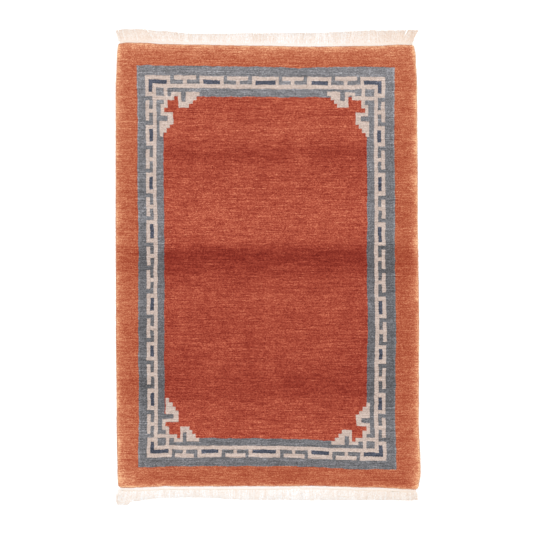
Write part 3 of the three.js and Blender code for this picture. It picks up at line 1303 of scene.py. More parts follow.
class Recipe:
    """A Geometry Nodes tree with named sizes, which is grown on roots into a plain mesh."""

    def __init__(self, name: str) -> None:
        """Starts a tree that takes the roots in."""
        self.name = name
        self.group = bpy.data.node_groups.new(name, "GeometryNodeTree")
        self.tree = Tree(self.group)
        self.values: dict[str, float | int] = {}
        self.group.interface.new_socket(name="Roots", in_out="INPUT", socket_type="NodeSocketGeometry")
        self.group.interface.new_socket(name="Grown", in_out="OUTPUT", socket_type="NodeSocketGeometry")
        self.entry = self.tree.node("NodeGroupInput")
        self.roots = Wire(self.tree, self.entry.outputs["Roots"])

    def given(self, name: str, value: float | int) -> Wire:
        """Adds a named size, or a whole number, that the tree takes in."""
        kind = "NodeSocketInt" if isinstance(value, int) else "NodeSocketFloat"
        socket = self.group.interface.new_socket(name=name, in_out="INPUT", socket_type=kind)
        self.values[socket.identifier] = value
        return Wire(self.tree, self.entry.outputs[name])

    def own(self, name: str, kind: str = "FLOAT") -> Wire:
        """Reads a measure that each root carries."""
        settings = {"data_type": kind}
        return self.tree.wire("GeometryNodeInputNamedAttribute", settings, {"Name": name}, "Attribute")

    def random(self, low: float, high: float, seed: Wire) -> Wire:
        """Gives each root a number of its own between two."""
        inputs = {"Min": low, "Max": high, "Seed": seed}
        return self.tree.wire("FunctionNodeRandomValue", {"data_type": "FLOAT"}, inputs)

    def stored(self, points: Wire, name: str, value: Wire) -> Wire:
        """Keeps a number on each point."""
        inputs = {"Geometry": points, "Name": name, "Value": value}
        return self.tree.wire("GeometryNodeStoreNamedAttribute", {"data_type": "FLOAT"}, inputs)

    def joined(self, *shapes: Wire) -> Wire:
        """Joins shapes to one."""
        node = self.tree.node("GeometryNodeJoinGeometry")
        for shape in shapes:
            self.tree.tree.links.new(shape.socket, node.inputs[0])
        return Wire(self.tree, node.outputs[0])

    def tube(self, path: Wire, radius: Wire, sides: int, scale: Wire | float = 1.0) -> Wire:
        """Gives a closed tube along a curve, whose scale may change along it."""
        circle = {"Resolution": sides, "Radius": radius}
        section = self.tree.wire("GeometryNodeCurvePrimitiveCircle", inputs=circle)
        inputs = {"Curve": path, "Profile Curve": section, "Fill Caps": True, "Scale": scale}
        return self.tree.wire("GeometryNodeCurveToMesh", inputs=inputs)

    def stations(self, path: Wire, pitch: Wire) -> tuple[Wire, Wire]:
        """Gives points a pitch apart along a curve, and how the curve is turned there."""
        inputs = {"Curve": path, "Length": pitch}
        even = self.tree.wire("GeometryNodeResampleCurve", {"mode": "LENGTH"}, inputs)
        settings = {"mode": "EVALUATED"}
        outputs = self.tree.node("GeometryNodeCurveToPoints", settings, {"Curve": even}).outputs
        return Wire(self.tree, outputs["Points"]), Wire(self.tree, outputs["Rotation"])

    def placed(self, points: Wire, shape: Wire, pose: dict[str, Wire] | None = None) -> Wire:
        """Sets a copy of a shape on each point, turned and scaled as the pose says."""
        inputs = {"Points": points, "Instance": shape, **(pose or {})}
        return self.tree.wire("GeometryNodeInstanceOnPoints", inputs=inputs)

    def grow(
        self,
        roots: bpy.types.Mesh,
        shape: Wire,
        material: bpy.types.Material,
        spent: Sequence[str] = (),
    ) -> bpy.types.Mesh:
        """Closes the tree and grows it.

        Args:
            roots: The points or lines that it grows on.
            shape: What comes out of the last node.
            material: The yarn's finish.
            spent: The roots' measures that the grown mesh doesn't need.

        Returns:
            The grown mesh, without a modifier.
        """
        real = self.tree.wire("GeometryNodeRealizeInstances", inputs={"Geometry": shape})
        smooth = self.tree.wire("GeometryNodeSetShadeSmooth", inputs={"Geometry": real})
        inputs = {"Geometry": smooth, "Material": material}
        dressed = self.tree.wire("GeometryNodeSetMaterial", inputs=inputs)
        self.tree.node("NodeGroupOutput", inputs={"Grown": dressed})
        holder = bpy.data.objects.new(self.name, roots)
        bpy.context.scene.collection.objects.link(holder)
        modifier = holder.modifiers.new(self.name, "NODES")
        modifier.node_group = self.group
        for identifier, value in self.values.items():
            modifier[identifier] = value
        depsgraph = bpy.context.evaluated_depsgraph_get()
        mesh = bpy.data.meshes.new_from_object(holder.evaluated_get(depsgraph))
        bpy.data.objects.remove(holder)
        mesh.name = self.name
        for measure in spent:
            if measure in mesh.attributes:
                mesh.attributes.remove(mesh.attributes[measure])
        return mesh


def roots_mesh(points: Array, edges: Sequence[Face] = ()) -> bpy.types.Mesh:
    """Makes a mesh of bare points, or of points in lines."""
    mesh = bpy.data.meshes.new("roots")
    mesh.from_pydata(points.tolist(), list(edges), [])
    return mesh


@dataclass
class RimTufts:
    """The outermost tufts of the pile, which splay out over the sides and the webs."""

    plan: RugPlan
    # The pile's painted crease shade, which the tufts take for the border.
    shades: Table
    inset: Insets = (1.6, 0.9, 1.1)
    pitch: float = 1.6
    length: float = 5.0
    half_thickness: float = 1.0
    splay: Span = (1.0, 0.8)
    sway: float = 0.25
    thicknesses: Span = (0.85, 1.2)
    lengths: Span = (0.85, 1.15)
    # Painted highlight on the tufts near the edges: its strength, its patchiness and its cap.
    glow: float = 0.95
    highlight_uneven: float = 0.3
    palest: float = 0.86
    highlight_patch: Span = (50, 50)
    yarn_spread: float = 0.07
    crowding: float = 0.3
    lump: float = 0.5
    lump_patch: Span = (13, 1)
    jitter: float = 0.45
    foot_fray: float = 0.9
    foot_fray_patch: Span = (31, 1)
    foot_facing: float = -0.7
    look_ahead: float = 4
    seed: int = 5
    rows: Table = Table(
        ("in", "height", "lean"),
        (
            (2.9, 8.0, 142),
            (5.6, 9.7, 115),
        ),
    )

    def build(self, material: bpy.types.Material) -> bpy.types.Object:
        """Builds the tufts, cut square and spread at the tip like the yarn that they are."""
        points, outward, tone = self.roots()
        roots = roots_mesh(points)
        store(roots, "outward", outward)
        store(roots, "tone", tone)
        recipe = Recipe("Rim_Tufts")
        tree = recipe.tree
        half = recipe.given("Half thickness", self.half_thickness * MM)
        length = recipe.given("Tuft length", self.length * MM)
        seed = recipe.given("Seed", self.seed)
        sizes = {"Vertices": 4, "Side Segments": 1, "Depth": length}
        sizes |= {"Radius Bottom": half * self.splay[0], "Radius Top": half * self.splay[1]}
        tuft = tree.wire("GeometryNodeMeshCone", {"fill_type": "NGON"}, sizes)
        across = recipe.random(-self.sway, self.sway, seed)
        along = recipe.random(-self.sway, self.sway, seed + 1.0)
        inputs = {0: recipe.own("outward", "FLOAT_VECTOR"), 1: tree.vector(across, along)}
        leaning = tree.wire("ShaderNodeVectorMath", {"operation": "ADD"}, inputs)
        turned = tree.wire("FunctionNodeAlignRotationToVector", {"axis": "Z"}, {"Vector": leaning})
        thickness = recipe.random(*self.thicknesses, seed + 2.0)
        scale = tree.vector(thickness, thickness, recipe.random(*self.lengths, seed + 3.0))
        shape = recipe.placed(recipe.roots, tuft, {"Rotation": turned, "Scale": scale})
        mesh = recipe.grow(roots, shape, material, ("outward",))
        return piece_of("Rim_Tufts", mesh)

    def roots(self) -> tuple[Array, Array, Array]:
        """Places the rows of tufts round the rug.

        Returns:
            The tufts' middles in metres, the ways that they point, and their yarn's tones, with painted
            edge highlight and painted crease shade.
        """
        line = self.plan.outline(self.inset)
        closed = np.concatenate((line, line[:1]))
        steps = np.linalg.norm(np.diff(closed, axis=0), axis=1)
        reach = np.concatenate(([0], np.cumsum(steps)))
        rows = [self.row(number, closed, reach) for number in range(len(self.rows.rows))]
        return tuple(np.concatenate(parts) for parts in zip(*rows))

    def row(self, number: int, closed: Array, reach: Array) -> tuple[Array, Array, Array]:
        """Places one row of tufts.

        Args:
            number: The row's number in the table.
            closed: The pile's edge, closed.
            reach: How far along it each point lies.

        Returns:
            The row's middles, ways and tones, with painted highlight and painted crease shade.
        """
        inset, height, lean = self.rows.rows[number]
        count = int(reach[-1] / self.pitch)
        order = np.arange(count)
        spot = (order + 0.5 * (number % 2)) * (reach[-1] / count)
        spot = spot + self.crowding * self.pitch * scatter(order, number, 3.0)
        x, y = (np.interp(spot, reach, closed[:, axis]) for axis in (0, 1))
        outward = self.outward(spot, closed, reach)
        jitter = self.lump * unevenness(spot, 0 * spot, self.lump_patch, 8.0)
        jitter = jitter + self.jitter * scatter(order, number, 8.0)
        frayed = self.foot_fray * unevenness(spot, 0 * spot, self.foot_fray_patch, 6.0)
        jitter = jitter + (outward[:, 1] < self.foot_facing) * frayed
        x, y = x - outward[:, 0] * (inset + jitter), y - outward[:, 1] * (inset + jitter)
        tilt = math.radians(lean)
        direction = np.column_stack((outward * math.sin(tilt), np.full(count, math.cos(tilt))))
        rise = height + self.plan.rise(x, y) * (height / self.plan.thickness)
        middles = self.plan.in_metres(x, y, rise) + direction * self.length / 2 * MM
        # The yarn is painted lighter near the edges and takes the pile's painted crease shade.
        uneven = 1 + self.highlight_uneven * unevenness(x, y, self.highlight_patch, 4.0)
        tone = self.plan.edge_highlight(x, y) * self.glow * uneven + self.shades.at(y, "border")
        tone = np.minimum(tone, self.palest) + self.yarn_spread * scatter(order, number, 6.0)
        return middles, direction, tone

    def outward(self, spot: Array, closed: Array, reach: Array) -> Array:
        """Gives the level ways that look out of the edge, at places along it."""
        ends = []
        for step in (self.look_ahead, -self.look_ahead):
            walks = (closed[:, 0], closed[:, 1])
            ends.append([np.interp(spot + step, reach, walk, period=reach[-1]) for walk in walks])
        run = np.stack(ends[0], axis=-1) - np.stack(ends[1], axis=-1)
        run /= np.linalg.norm(run, axis=1)[:, None]
        return np.stack((run[:, 1], -run[:, 0]), axis=-1)


@dataclass
class OvercastSides:
    """Wool wrapped over a cord along each side of the rug."""

    plan: RugPlan
    inset: float = 3.0
    cord_radius: float = 1.9
    yarn_radius: float = 0.85
    pitch: float = 2.3
    slant: float = 0.22
    reach: float = 0.99
    sizes: Span = (0.88, 1.12)
    tones: Span = (-0.22, 0.22)
    path_points: int = 300
    cord_sides: int = 6
    wrap_sides: tuple[int, int] = (8, 4)
    seed: int = 9

    def build(self, material: bpy.types.Material) -> bpy.types.Object:
        """Builds both sides' cords and wraps."""
        along = np.linspace(-self.reach, self.reach, self.path_points)
        points, edges = [], []
        for side in Side:
            x, y = self.plan.plan(np.full_like(along, side.value), along, (self.inset, 0, 0))
            first = len(points) * len(along)
            height = self.cord_radius + self.yarn_radius
            points.append(self.plan.in_metres(x, y, np.full_like(x, height)))
            edges += [(first + i, first + i + 1) for i in range(len(along) - 1)]
        recipe = Recipe("Overcast_Sides")
        tree = recipe.tree
        cord = recipe.given("Cord radius", self.cord_radius * MM)
        yarn = recipe.given("Yarn radius", self.yarn_radius * MM)
        pitch = recipe.given("Pitch", self.pitch * MM)
        seed = recipe.given("Seed", self.seed)
        path = tree.wire("GeometryNodeMeshToCurve", inputs={"Mesh": recipe.roots})
        core = recipe.tube(path, cord, self.cord_sides)
        circle = {"Resolution": self.wrap_sides[0], "Radius": cord}
        ring = tree.wire("GeometryNodeCurvePrimitiveCircle", inputs=circle)
        wrap = recipe.tube(ring, yarn, self.wrap_sides[1])
        tilt = {"Geometry": wrap, "Rotation": (self.slant, 0.0, 0.0)}
        slanted = tree.wire("GeometryNodeTransform", inputs=tilt)
        places, turned = recipe.stations(path, pitch)
        size = recipe.random(*self.sizes, seed)
        toned = recipe.stored(places, "tone", recipe.random(*self.tones, seed + 1.0))
        scale = tree.vector(size, size, size)
        wraps = recipe.placed(toned, slanted, {"Rotation": turned, "Scale": scale})
        roots = roots_mesh(np.concatenate(points), edges)
        mesh = recipe.grow(roots, recipe.joined(wraps, core), material)
        return piece_of("Overcast_Sides", mesh)


@dataclass
class TwinedLine:
    """The twined cotton line along the foot web's outer edge, with the loop that came loose."""

    plan: RugPlan
    reach: Span = (-578, 572)
    loop: Span = (88, 135)
    loop_gap: float = 3
    loop_rise: float = 13
    loop_drop: float = 4
    inset: float = 1.2
    height: float = 2.7
    pitch: float = 3.4
    bead: Triple = (2.3, 1.15, 0.95)
    sizes: Span = (0.85, 1.15)
    turns: Span = (0.3, 0.6)
    uneven: float = 0.5
    uneven_patch: Span = (60, 1)
    thread_radius: float = 0.8
    thread_sides: int = 6
    # Places across where the line is darker, how much darker, and how far each spot reaches.
    dark_spots: tuple[float, ...] = (-580, 494, 514)
    dark_spot_tone: float = -0.3
    dark_spot_reach: float = 7
    seed: int = 17

    def build(self, material: bpy.types.Material) -> bpy.types.Object:
        """Builds the twined beads and the loop's bare thread."""
        recipe = Recipe("Twined_Line")
        tree = recipe.tree
        pitch = recipe.given("Pitch", self.pitch * MM)
        radius = recipe.given("Thread radius", self.thread_radius * MM)
        seed = recipe.given("Seed", self.seed)
        points, edges, is_loop = self.paths()
        roots = roots_mesh(points, edges)
        store(roots, "loop", is_loop)
        x = points[:, 0] / MM + self.plan.middle[0]
        marks = [np.exp(-(((x - spot) / self.dark_spot_reach) ** 2)) for spot in self.dark_spots]
        store(roots, "tone", self.dark_spot_tone * sum(marks))
        path = tree.wire("GeometryNodeMeshToCurve", inputs={"Mesh": recipe.roots})
        loose = tree.math("GREATER_THAN", recipe.own("loop"), 0.5)
        settings = {"domain": "POINT"}
        parts = tree.node("GeometryNodeSeparateGeometry", settings, {0: path, 1: loose}).outputs
        thread = recipe.tube(Wire(tree, parts[0]), radius, self.thread_sides)
        places, _ = recipe.stations(Wire(tree, parts[1]), pitch)
        ball = tree.wire("GeometryNodeMeshIcoSphere", inputs={"Radius": 1 * MM, "Subdivisions": 2})
        shaped = tree.wire("GeometryNodeTransform", inputs={"Geometry": ball, "Scale": self.bead})
        size = recipe.random(*self.sizes, seed)
        turn = {"Euler": tree.vector(0.0, 0.0, recipe.random(*self.turns, seed))}
        turned = tree.wire("FunctionNodeEulerToRotation", inputs=turn)
        scale = tree.vector(size, size, size)
        beads = recipe.placed(places, shaped, {"Rotation": turned, "Scale": scale})
        mesh = recipe.grow(roots, recipe.joined(beads, thread), material, ("loop",))
        return piece_of("Twined_Line", mesh)

    def paths(self) -> tuple[Array, list[Face], Array]:
        """Lays out the line on both sides of the loop, and the loop.

        Returns:
            Points in metres, the lines between them, and which of them are the loop's.
        """
        runs = (
            (np.linspace(self.reach[0], self.loop[0] - self.loop_gap, 200), 0.0),
            (np.linspace(self.loop[1] + self.loop_gap, self.reach[1], 140), 0.0),
            (np.linspace(*self.loop, 30), 1.0),
        )
        points, edges, kinds = [], [], []
        for x, is_loop in runs:
            share = (x - self.loop[0]) / (self.loop[1] - self.loop[0])
            bulge = is_loop * (np.sin(math.pi * np.clip(share, 0, 1)) ** 0.8)
            out = self.plan.half_length_at(End.FOOT, x) + self.plan.clearance + self.plan.web_width
            y = -(out - self.inset + self.uneven * unevenness(x, 0 * x, self.uneven_patch, 2.0))
            y = y + bulge * self.loop_rise - is_loop * self.loop_drop * (1 - bulge)
            first = sum(len(part) for part in points)
            points.append(self.plan.in_metres(x, y, self.height + self.thread_radius * bulge))
            edges += [(first + i, first + i + 1) for i in range(len(x) - 1)]
            kinds.append(np.full(len(x), is_loop))
        return np.concatenate(points), edges, np.concatenate(kinds)


@dataclass
class EndWeb:
    """The flat-woven cotton strip at one end, in plain weave, tucked to the pile at the foot."""

    plan: RugPlan
    end: End
    warp_pitch: float = 3.0
    wefts: int = 8
    body: float = 2.2
    weave: float = 0.42
    # Painted shade in the weave's valleys; the valley's first value lowers the relief, its second
    # weights the painted shade.
    valley_shade: float = 0.1
    valley: Span = (-0.7, -1.4)
    edge_height: float = 1.3
    edge_start: float = 0.86
    uneven: float = 0.12
    tuck: float = 1.2
    # Painted light on the strip near the pile, where the pile's edge shades it: how much and how far it
    # reaches.
    near_painted_light: Span = (0.2, 2.6)
    near_rise: float = 1.2
    lengths: int = 12
    under_step: int = 8
    atlas_fill: Span = (0.96, 0.8)
    atlas_reach: Span = (-12, 34)

    def build(self, material: bpy.types.Material) -> bpy.types.Object:
        """Builds the strip."""
        name = f"{self.end.name.title()}_Web"
        left, right = self.reach()
        columns = int((right - left) / (self.warp_pitch / 2)) + 1
        rows = 2 * self.wefts + 1
        x = np.linspace(left, right, columns)
        tucked = self.tuck if self.end is End.FOOT else 0.0
        share = np.linspace(-tucked / self.plan.web_width, 1, rows)[:, None]
        height, tone = self.weave_heights(x, share)
        near = self.plan.half_length_at(self.end, x) + self.plan.clearance
        grid_x = np.broadcast_to(x, height.shape)
        grid_y = self.end.value * (near + share * self.plan.web_width)
        if self.end is End.FOOT:
            grid_x, grid_y, height, tone = (part[::-1] for part in (grid_x, grid_y, height, tone))
        top = np.stack((grid_x, grid_y, height), axis=-1).reshape(-1, 3)
        rim = KnottedPile.outline_indices(columns, rows)
        low = top[rim].copy()
        low[:, 2] = 0
        faces = KnottedPile.grid_faces(columns, rows)
        under = np.arange(len(top), len(top) + len(rim))
        faces += KnottedPile.ring_faces(under, rim)
        faces += self.underside(under, columns, rows)
        points = np.concatenate((top, low))
        mesh = mesh_of(name, self.plan.in_metres(*points.T), faces, (material,))
        store(mesh, "tone", np.concatenate((tone.ravel(), np.zeros(len(low)))))
        self.lay_out(mesh, points)
        return piece_of(name, mesh, (f"{name}_Fringe",))

    def weave_heights(self, x: Array, share: Array) -> tuple[Array, Array]:
        """Weaves the strip.

        Args:
            x: Places across, one for each half warp.
            share: Shares of the strip's width, from the pile outwards, one row each.

        Returns:
            The strip's height and its yarn's tone, with painted shade in the weave's valleys and
            painted light near the pile, a row for each share.
        """
        warp = np.arange(len(x))[None, :]
        weft = np.arange(len(share))[:, None]
        on_weft = weft % 2 == 1
        over = np.cos(math.pi * (warp / 2 + weft // 2))
        relief = np.where(on_weft, over, self.valley[0]) * self.weave
        fall = np.clip((share - self.edge_start) / (1 - self.edge_start), 0, 1) ** 2
        height = (self.body + relief) * (1 - fall) + self.edge_height * fall
        height = height + self.uneven * unevenness(x[None, :], share * 9, (11, 3), 21.0)
        lift, reach = self.near_painted_light
        near = np.exp(-np.maximum(share, 0) * self.plan.web_width / reach)
        # The end's table gives the strip's tone across, darker towards the corners.
        tone_across = self.plan.end_table(self.end).at(x / self.plan.half_width, "tone")
        # Painted shade in the valleys between the wefts, and painted light near the pile.
        tone = tone_across[None, :] + self.valley_shade * np.where(on_weft, over, self.valley[1])
        return height + self.near_rise * near, tone + lift * near

    def reach(self) -> Span:
        """Gives where the strip starts and ends across."""
        facing = float(self.end.value)
        halves = [float(self.plan.half_width_at(np.array(side.value), facing)) for side in Side]
        return -self.plan.web_reach * halves[0], self.plan.web_reach * halves[1]

    def underside(self, under: Array, columns: int, rows: int) -> list[Face]:
        """Closes the strip below with a face for every few columns."""
        foot = under[:columns]
        right = under[columns - 1 : columns + rows - 1]
        head = under[columns + rows - 2 : 2 * columns + rows - 2][::-1]
        left = np.concatenate((under[2 * columns + rows - 3 :], under[:1]))[::-1]
        faces = []
        for first in range(0, columns - 1, self.under_step):
            last = min(first + self.under_step, columns - 1)
            walk = foot[first : last + 1].tolist()
            walk += right[1:-1].tolist() if last == columns - 1 else []
            walk += head[first : last + 1][::-1].tolist()
            walk += left[1:-1][::-1].tolist() if first == 0 else []
            faces.append(tuple(reversed(walk)))
        return faces

    def lay_out(self, mesh: bpy.types.Mesh, points: Array) -> None:
        """Lays the strip out flat in lengths, one above another."""
        centres = np.zeros(len(mesh.polygons) * 3)
        mesh.polygons.foreach_get("center", centres)
        left, right = self.reach()
        middles = centres.reshape(-1, 3)[:, 0] / MM + self.plan.middle[0]
        number = ((middles - left) / (right - left) * self.lengths).astype(int)
        number = np.clip(number, 0, self.lengths - 1)
        number = np.repeat(number, numbers_of(mesh.polygons, "loop_total"))
        x, y, z = points[numbers_of(mesh.loops, "vertex_index")].T
        span = (right - left) / self.lengths
        u = (x - left - number * span) / span
        outwards = self.end.value * y - self.plan.half_length
        downwards = np.where(z < 1e-6, self.plan.web_thickness, 0)
        low, high = self.atlas_reach
        v = (outwards + downwards - low) / (high - low)
        fills = zip((u, v), self.atlas_fill)
        u, v = (fill * place + (1 - fill) / 2 for place, fill in fills)
        set_atlas(mesh, np.column_stack((u, (number + v) / self.lengths)))


@dataclass
class Fringe:
    """The cut warp threads at one end, which lie fanned in locks on the floor."""

    plan: RugPlan
    end: End
    threads: int = 3000
    thread_radius: float = 0.8
    root_depth: float = 2.5
    length_spread: float = 0.05
    stray: float = 2.2
    lock: float = 10
    lock_uneven: float = 0.6
    lock_patch: Span = (23, 1)
    lock_full: float = 0.62
    lock_lean: float = 2.5
    gather: float = 0.07
    wander: float = 13
    wander_patch: Span = (85, 1)
    wander_end: float = 0.9
    layers: float = 1.0
    thread_tone: float = 0.08
    lock_tone: float = 0.04
    gap_shade: float = 0.08
    deep_shade: float = 0.1
    sway: float = 1.5
    waves: float = 8.5
    taper: float = 0.45
    settle: float = 3.2
    sink: float = 0.35
    thread_points: int = 7
    thread_sides: int = 4
    seed: int = 31
    strays: Table = Table(
        ("end", "side", "root", "root_spread", "out", "out_spread", "away", "away_spread", "threads"),
        (
            (-1, -1, 8, 6, 11, 4, 32, 7, 60),
            (-1, -1, 5, 3, 7, 3, 18, 5, 30),
            (-1, 1, 9, 5, 4, 2, 26, 6, 24),
            (1, -1, 11, 2, 7, 2, 15, 2, 12),
            (1, -1, 12, 3, 6, 4, 40, 6, 30),
            (1, 1, 10, 4, 3, 2, 24, 6, 16),
        ),
    )

    def build(self, material: bpy.types.Material) -> bpy.types.Object:
        """Builds the threads."""
        name = f"{self.end.name.title()}_Fringe"
        laid = dict(zip(("root", "tip", "rest", "tone"), self.threads_laid()))
        roots = roots_mesh(laid["root"])
        for measure, values in laid.items():
            store(roots, measure, values)
        recipe = Recipe(name)
        tree = recipe.tree
        radius = recipe.given("Thread radius", self.thread_radius * MM)
        sway = recipe.given("Sway", self.sway * MM)
        seed = recipe.given("Seed", self.seed)
        straight = tree.wire("GeometryNodeCurvePrimitiveLine", inputs={"End": (0.0, 0.0, MM)})
        steps = {"Curve": straight, "Count": self.thread_points}
        line = tree.wire("GeometryNodeResampleCurve", {"mode": "COUNT"}, steps)
        points = recipe.stored(recipe.roots, "phase", recipe.random(0.0, 6.28, seed))
        copies = {"Geometry": recipe.placed(points, line)}
        real = tree.wire("GeometryNodeRealizeInstances", inputs=copies)
        t = tree.wire("GeometryNodeSplineParameter", output="Factor")
        root = tree.parts(recipe.own("root", "FLOAT_VECTOR"))
        tip = tree.parts(recipe.own("tip", "FLOAT_VECTOR"))
        wave = tree.math("SINE", t * self.waves + recipe.own("phase"))
        wave = wave * sway * tree.math("MINIMUM", t * 2.5, 1.0)
        bow = tree.math("SINE", t * math.pi) * tip[2]
        settled = tree.math("MULTIPLY", t, self.settle, clamp=True)
        x = root[0] + tip[0] * t**1.25 + bow + wave
        y = root[1] + tip[1] * t
        z = root[2] * (1 - settled) + recipe.own("rest") * (1 - t * self.sink) * settled
        place = {"Geometry": real, "Position": tree.vector(x, y, z)}
        shaped = tree.wire("GeometryNodeSetPosition", inputs=place)
        shape = recipe.tube(shaped, radius, self.thread_sides, 1 - t**3 * self.taper)
        mesh = recipe.grow(roots, shape, material, ("root", "tip", "rest", "phase"))
        return piece_of(name, mesh, (f"{self.end.name.title()}_Web_Fringe",))

    def spread(self, numbers: Array, draw: float) -> Array:
        """Gives threads or locks numbers of their own from -1 to 1, others for each draw."""
        return scatter(numbers, 0 * numbers, self.seed + draw)

    def threads_laid(self) -> tuple[Array, Array, Array, Array]:
        """Lays the threads out.

        Returns:
            Their roots, the ways from root to tip and the heights that they rest at, in metres,
            and their tones: threads between two locks lie in shade.
        """
        plan, table = self.plan, self.plan.end_table(self.end)
        numbers = np.arange(self.threads)
        left, right = EndWeb(plan, self.end).reach()
        root_x = left + (right - left) * (numbers + 0.5) / self.threads
        across = root_x / plan.half_width
        root_y = plan.half_length_at(self.end, root_x) + plan.clearance
        root_y = root_y + plan.web_width - self.root_depth
        uneven = unevenness(root_x, 0 * numbers, self.lock_patch, self.seed)
        shifted = root_x / self.lock + self.lock_uneven * uneven
        lock = np.floor(shifted)
        in_lock = shifted - lock - 0.5
        free = table.at(across, "fringe") - plan.web_width
        longer = 1 + self.length_spread * self.spread(numbers, 1.0)
        length = self.root_depth + free * longer * (1 + 0.02 * self.spread(lock, 2.0))
        lean = table.at(across, "lean") + self.lock_lean * self.spread(lock, 3.0)
        inner = np.clip((self.wander_end - np.abs(across)) * 12, 0, 1)
        swing = unevenness(root_x, 0 * numbers, self.wander_patch, self.seed + 6.0)
        drift = np.tan(np.radians(lean + inner * self.wander * swing)) * free
        strength = self.gather * (1 + 0.9 * scatter(lock, 0 * lock, 9.0))
        pulled = -in_lock * self.lock * strength * (1 + 0.4 * scatter(numbers, 0 * numbers, 9.0))
        strayed = self.stray * self.spread(numbers, 4.0) ** 3
        bow = table.at(across, "bow") * (1 + 0.3 * self.spread(numbers, 10.0))
        tips = np.stack((drift + pulled + strayed, self.end.value * length, bow), axis=-1)
        layer = 0.5 + 0.5 * self.spread(numbers, 5.0)
        rest = self.thread_radius * 1.05 + self.layers * layer
        roots = np.stack((root_x, self.end.value * root_y, 0.9 + 0.7 * layer), axis=-1)
        gap = np.clip(np.abs(in_lock) * 2 - self.lock_full, 0, 1) / (1 - self.lock_full)
        tone = self.thread_tone * self.spread(numbers, 7.0) - self.gap_shade * gap
        tone = tone + self.lock_tone * self.spread(lock, 8.0) + table.at(across, "tone")
        tone = tone - self.deep_shade * (1 - layer)
        laid = zip((roots, tips, rest, tone), self.strays_laid())
        roots, tips, rest, tone = (np.concatenate(parts) for parts in laid)
        return plan.in_metres(*roots.T), tips * MM, rest * MM, tone

    def strays_laid(self) -> tuple[Array, Array, Array, Array]:
        """Lays out the stray threads that fray from the strip's short sides.

        Returns:
            What `threads_laid` returns, but in millimetres.
        """
        roots, tips = [], []
        left, right = EndWeb(self.plan, self.end).reach()
        facing = float(self.end.value)
        for row in self.strays.rows:
            end, side, root, root_spread, out, out_spread, away, away_spread, threads = row
            if end != facing:
                continue
            numbers = np.arange(threads)
            spread = [scatter(numbers, 0 * numbers, self.seed + root + n) for n in range(4)]
            x = (left if side < 0 else right) - side * (1.5 + spread[3])
            edge = float(self.plan.half_length_at(self.end, np.array(x[0])))
            y = edge + root + root_spread * spread[0]
            reach_x = side * (1.5 + out + out_spread * spread[1])
            reach_y = np.maximum(away + away_spread * spread[2] - root - root_spread * spread[0], 1)
            roots.append(np.stack((x, facing * y, 1.4 + 0.5 * spread[3]), axis=-1))
            tips.append(np.stack((reach_x, facing * reach_y, side * 0.12 * reach_y), axis=-1))
        roots, tips = np.concatenate(roots), np.concatenate(tips)
        order = np.arange(len(roots))
        rest = self.thread_radius * 1.05 + self.layers * (0.5 + 0.5 * scatter(order, order, 4.0))
        table = self.plan.end_table(self.end)
        tone = table.at(roots[:, 0] / self.plan.half_width, "tone") + 0.06 * scatter(order, order, 5.0)
        return roots, tips, rest, tone


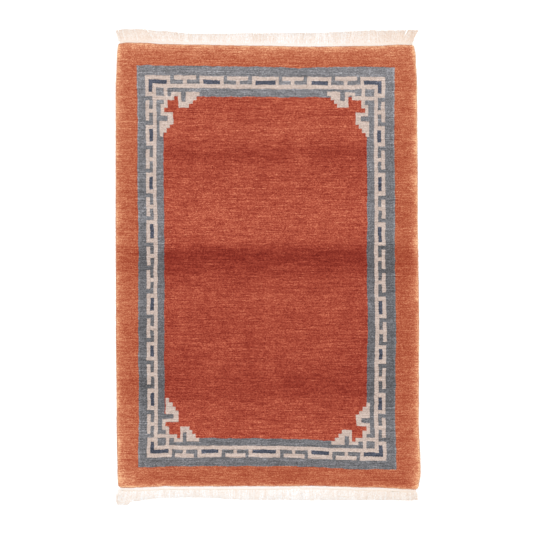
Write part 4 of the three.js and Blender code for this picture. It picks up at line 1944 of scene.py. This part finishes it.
@dataclass
class Studio:
    """The floor, the light and the camera."""

    floor_size: float = 60
    floor_drop: float = 0.0004
    camera_height: float = 6.0
    frame_width: float = 2.111
    frame_middle: Span = (-6.1, 1.4)
    sensor: float = 36
    sky: float = 0.75
    lamp_power: float = 421
    lamp_size: float = 4.0
    lamp_place: Triple = (-0.25, 0.15, 8.0)
    white: Triple = (0.97, 0.97, 0.97)

    def build(self, plan: RugPlan) -> bpy.types.Object:
        """Builds the studio round the laid rug and gives back its floor."""
        scene = bpy.context.scene
        scene.view_settings.view_transform = "Standard"
        self.light_scene(scene)
        self.place_camera(scene, plan.middle)
        return self.lay_floor()

    def lay_floor(self) -> bpy.types.Object:
        """Lays a plain white floor just under the rug."""
        half = self.floor_size / 2
        corners = [(-half, -half), (half, -half), (half, half), (-half, half)]
        points = np.array([(x, y, -self.floor_drop) for x, y in corners])
        material = bpy.data.materials.new("white floor")
        material.use_nodes = True
        tree = Tree(material.node_tree)
        inputs = {"Base Color": (*self.white, 1.0), "Roughness": 0.9, "Specular IOR Level": 0.1}
        shader = tree.wire("ShaderNodeBsdfPrincipled", inputs=inputs)
        tree.node("ShaderNodeOutputMaterial", inputs={"Surface": shader})
        mesh = mesh_of("Studio_Floor", points, [(0, 1, 2, 3)], [material])
        floor = bpy.data.objects.new("Studio_Floor", mesh)
        bpy.context.scene.collection.objects.link(floor)
        return floor

    def light_scene(self, scene: bpy.types.Scene) -> None:
        """Lights the rug softly from all round and from a broad lamp straight above."""
        world = bpy.data.worlds.new("soft white room")
        scene.world = world
        world.use_nodes = True
        tree = Tree(world.node_tree)
        inputs = {"Color": (1.0, 1.0, 1.0, 1.0), "Strength": self.sky}
        glow = tree.wire("ShaderNodeBackground", inputs=inputs)
        tree.node("ShaderNodeOutputWorld", inputs={"Surface": glow})
        data = bpy.data.lights.new("softbox", "AREA")
        data.shape = "DISK"
        data.size = self.lamp_size
        data.energy = self.lamp_power
        lamp = bpy.data.objects.new("softbox", data)
        lamp.location = self.lamp_place
        x, y, z = self.lamp_place
        lamp.rotation_euler = (-math.atan2(y, z), math.atan2(x, math.hypot(y, z)), 0)
        scene.collection.objects.link(lamp)

    def place_camera(self, scene: bpy.types.Scene, middle: Span) -> None:
        """Hangs the camera straight above the rug."""
        data = bpy.data.cameras.new("camera")
        data.sensor_width = self.sensor
        data.lens = self.sensor * self.camera_height / self.frame_width
        data.clip_end = 100
        camera = bpy.data.objects.new("camera", data)
        across, along = ((aim - shift) * MM for aim, shift in zip(self.frame_middle, middle))
        camera.location = (across, along, self.camera_height)
        scene.collection.objects.link(camera)
        scene.camera = camera


def main() -> None:
    """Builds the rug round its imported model, and the studio round the rug."""
    logging.basicConfig(level=logging.INFO, format="%(message)s", stream=sys.stdout)
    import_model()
    plan = plan_about(*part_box("Knotted_Rug"))
    LOG.info("the rug's own middle stands at %.2f, %.2f mm", *plan.middle)
    floor = Studio().build(plan)
    pile_finish = PileFinish().material()
    back_finish = PileFinish(name="woven back", fuzz=0.1, edge=0.05, glow=0.0).material()
    rim_dye = replace(PileFinish().border, follow=(1.0, 2.2, 2.65))
    rim_yarn = YarnFinish(name="rim yarn", dye=rim_dye, broad=0.25).material()
    overcast = YarnFinish(name="overcast yarn", dye=Dye((246, 190, 156), WARM)).material()
    cream = Dye((264, 259, 256), (0.45, 1.0, 1.5))
    cotton_yarn = YarnFinish(name="cotton warp", dye=cream, patch=(3.4, 4.2, 4), broad=0.6, fine=0.2)
    webs = {End.HEAD: (260, 255, 250), End.FOOT: (260, 255, 251)}
    fringes = {End.HEAD: (264, 257, 252), End.FOOT: (264, 259, 255)}
    twine = YarnFinish(name="twine", dye=Dye((255, 240, 222)), broad=0.25, fine=0.12).material()
    pile = KnottedPile(plan, FretPlan()).build((pile_finish, back_finish))
    trims = [RimTufts(plan, PileFinish().creases).build(rim_yarn)]
    trims.append(OvercastSides(plan).build(overcast))
    for end, colour in webs.items():
        title = end.name.lower()
        weave = replace(cotton_yarn, name=f"{title} web", dye=Dye(colour, cream.follow), broad=0.25)
        warp = replace(cotton_yarn, name=f"{title} fringe", dye=Dye(fringes[end], cream.follow))
        trims.append(EndWeb(plan, end).build(weave.material()))
        fringe = Fringe(plan, end, seed=31 + end.value)
        if end is End.FOOT:
            fringe = replace(fringe, gather=0.03, gap_shade=0.04, wander=7)
        trims.append(fringe.build(warp.material()))
    trims.append(TwinedLine(plan).build(twine))


if __name__ == "__main__":
    main()
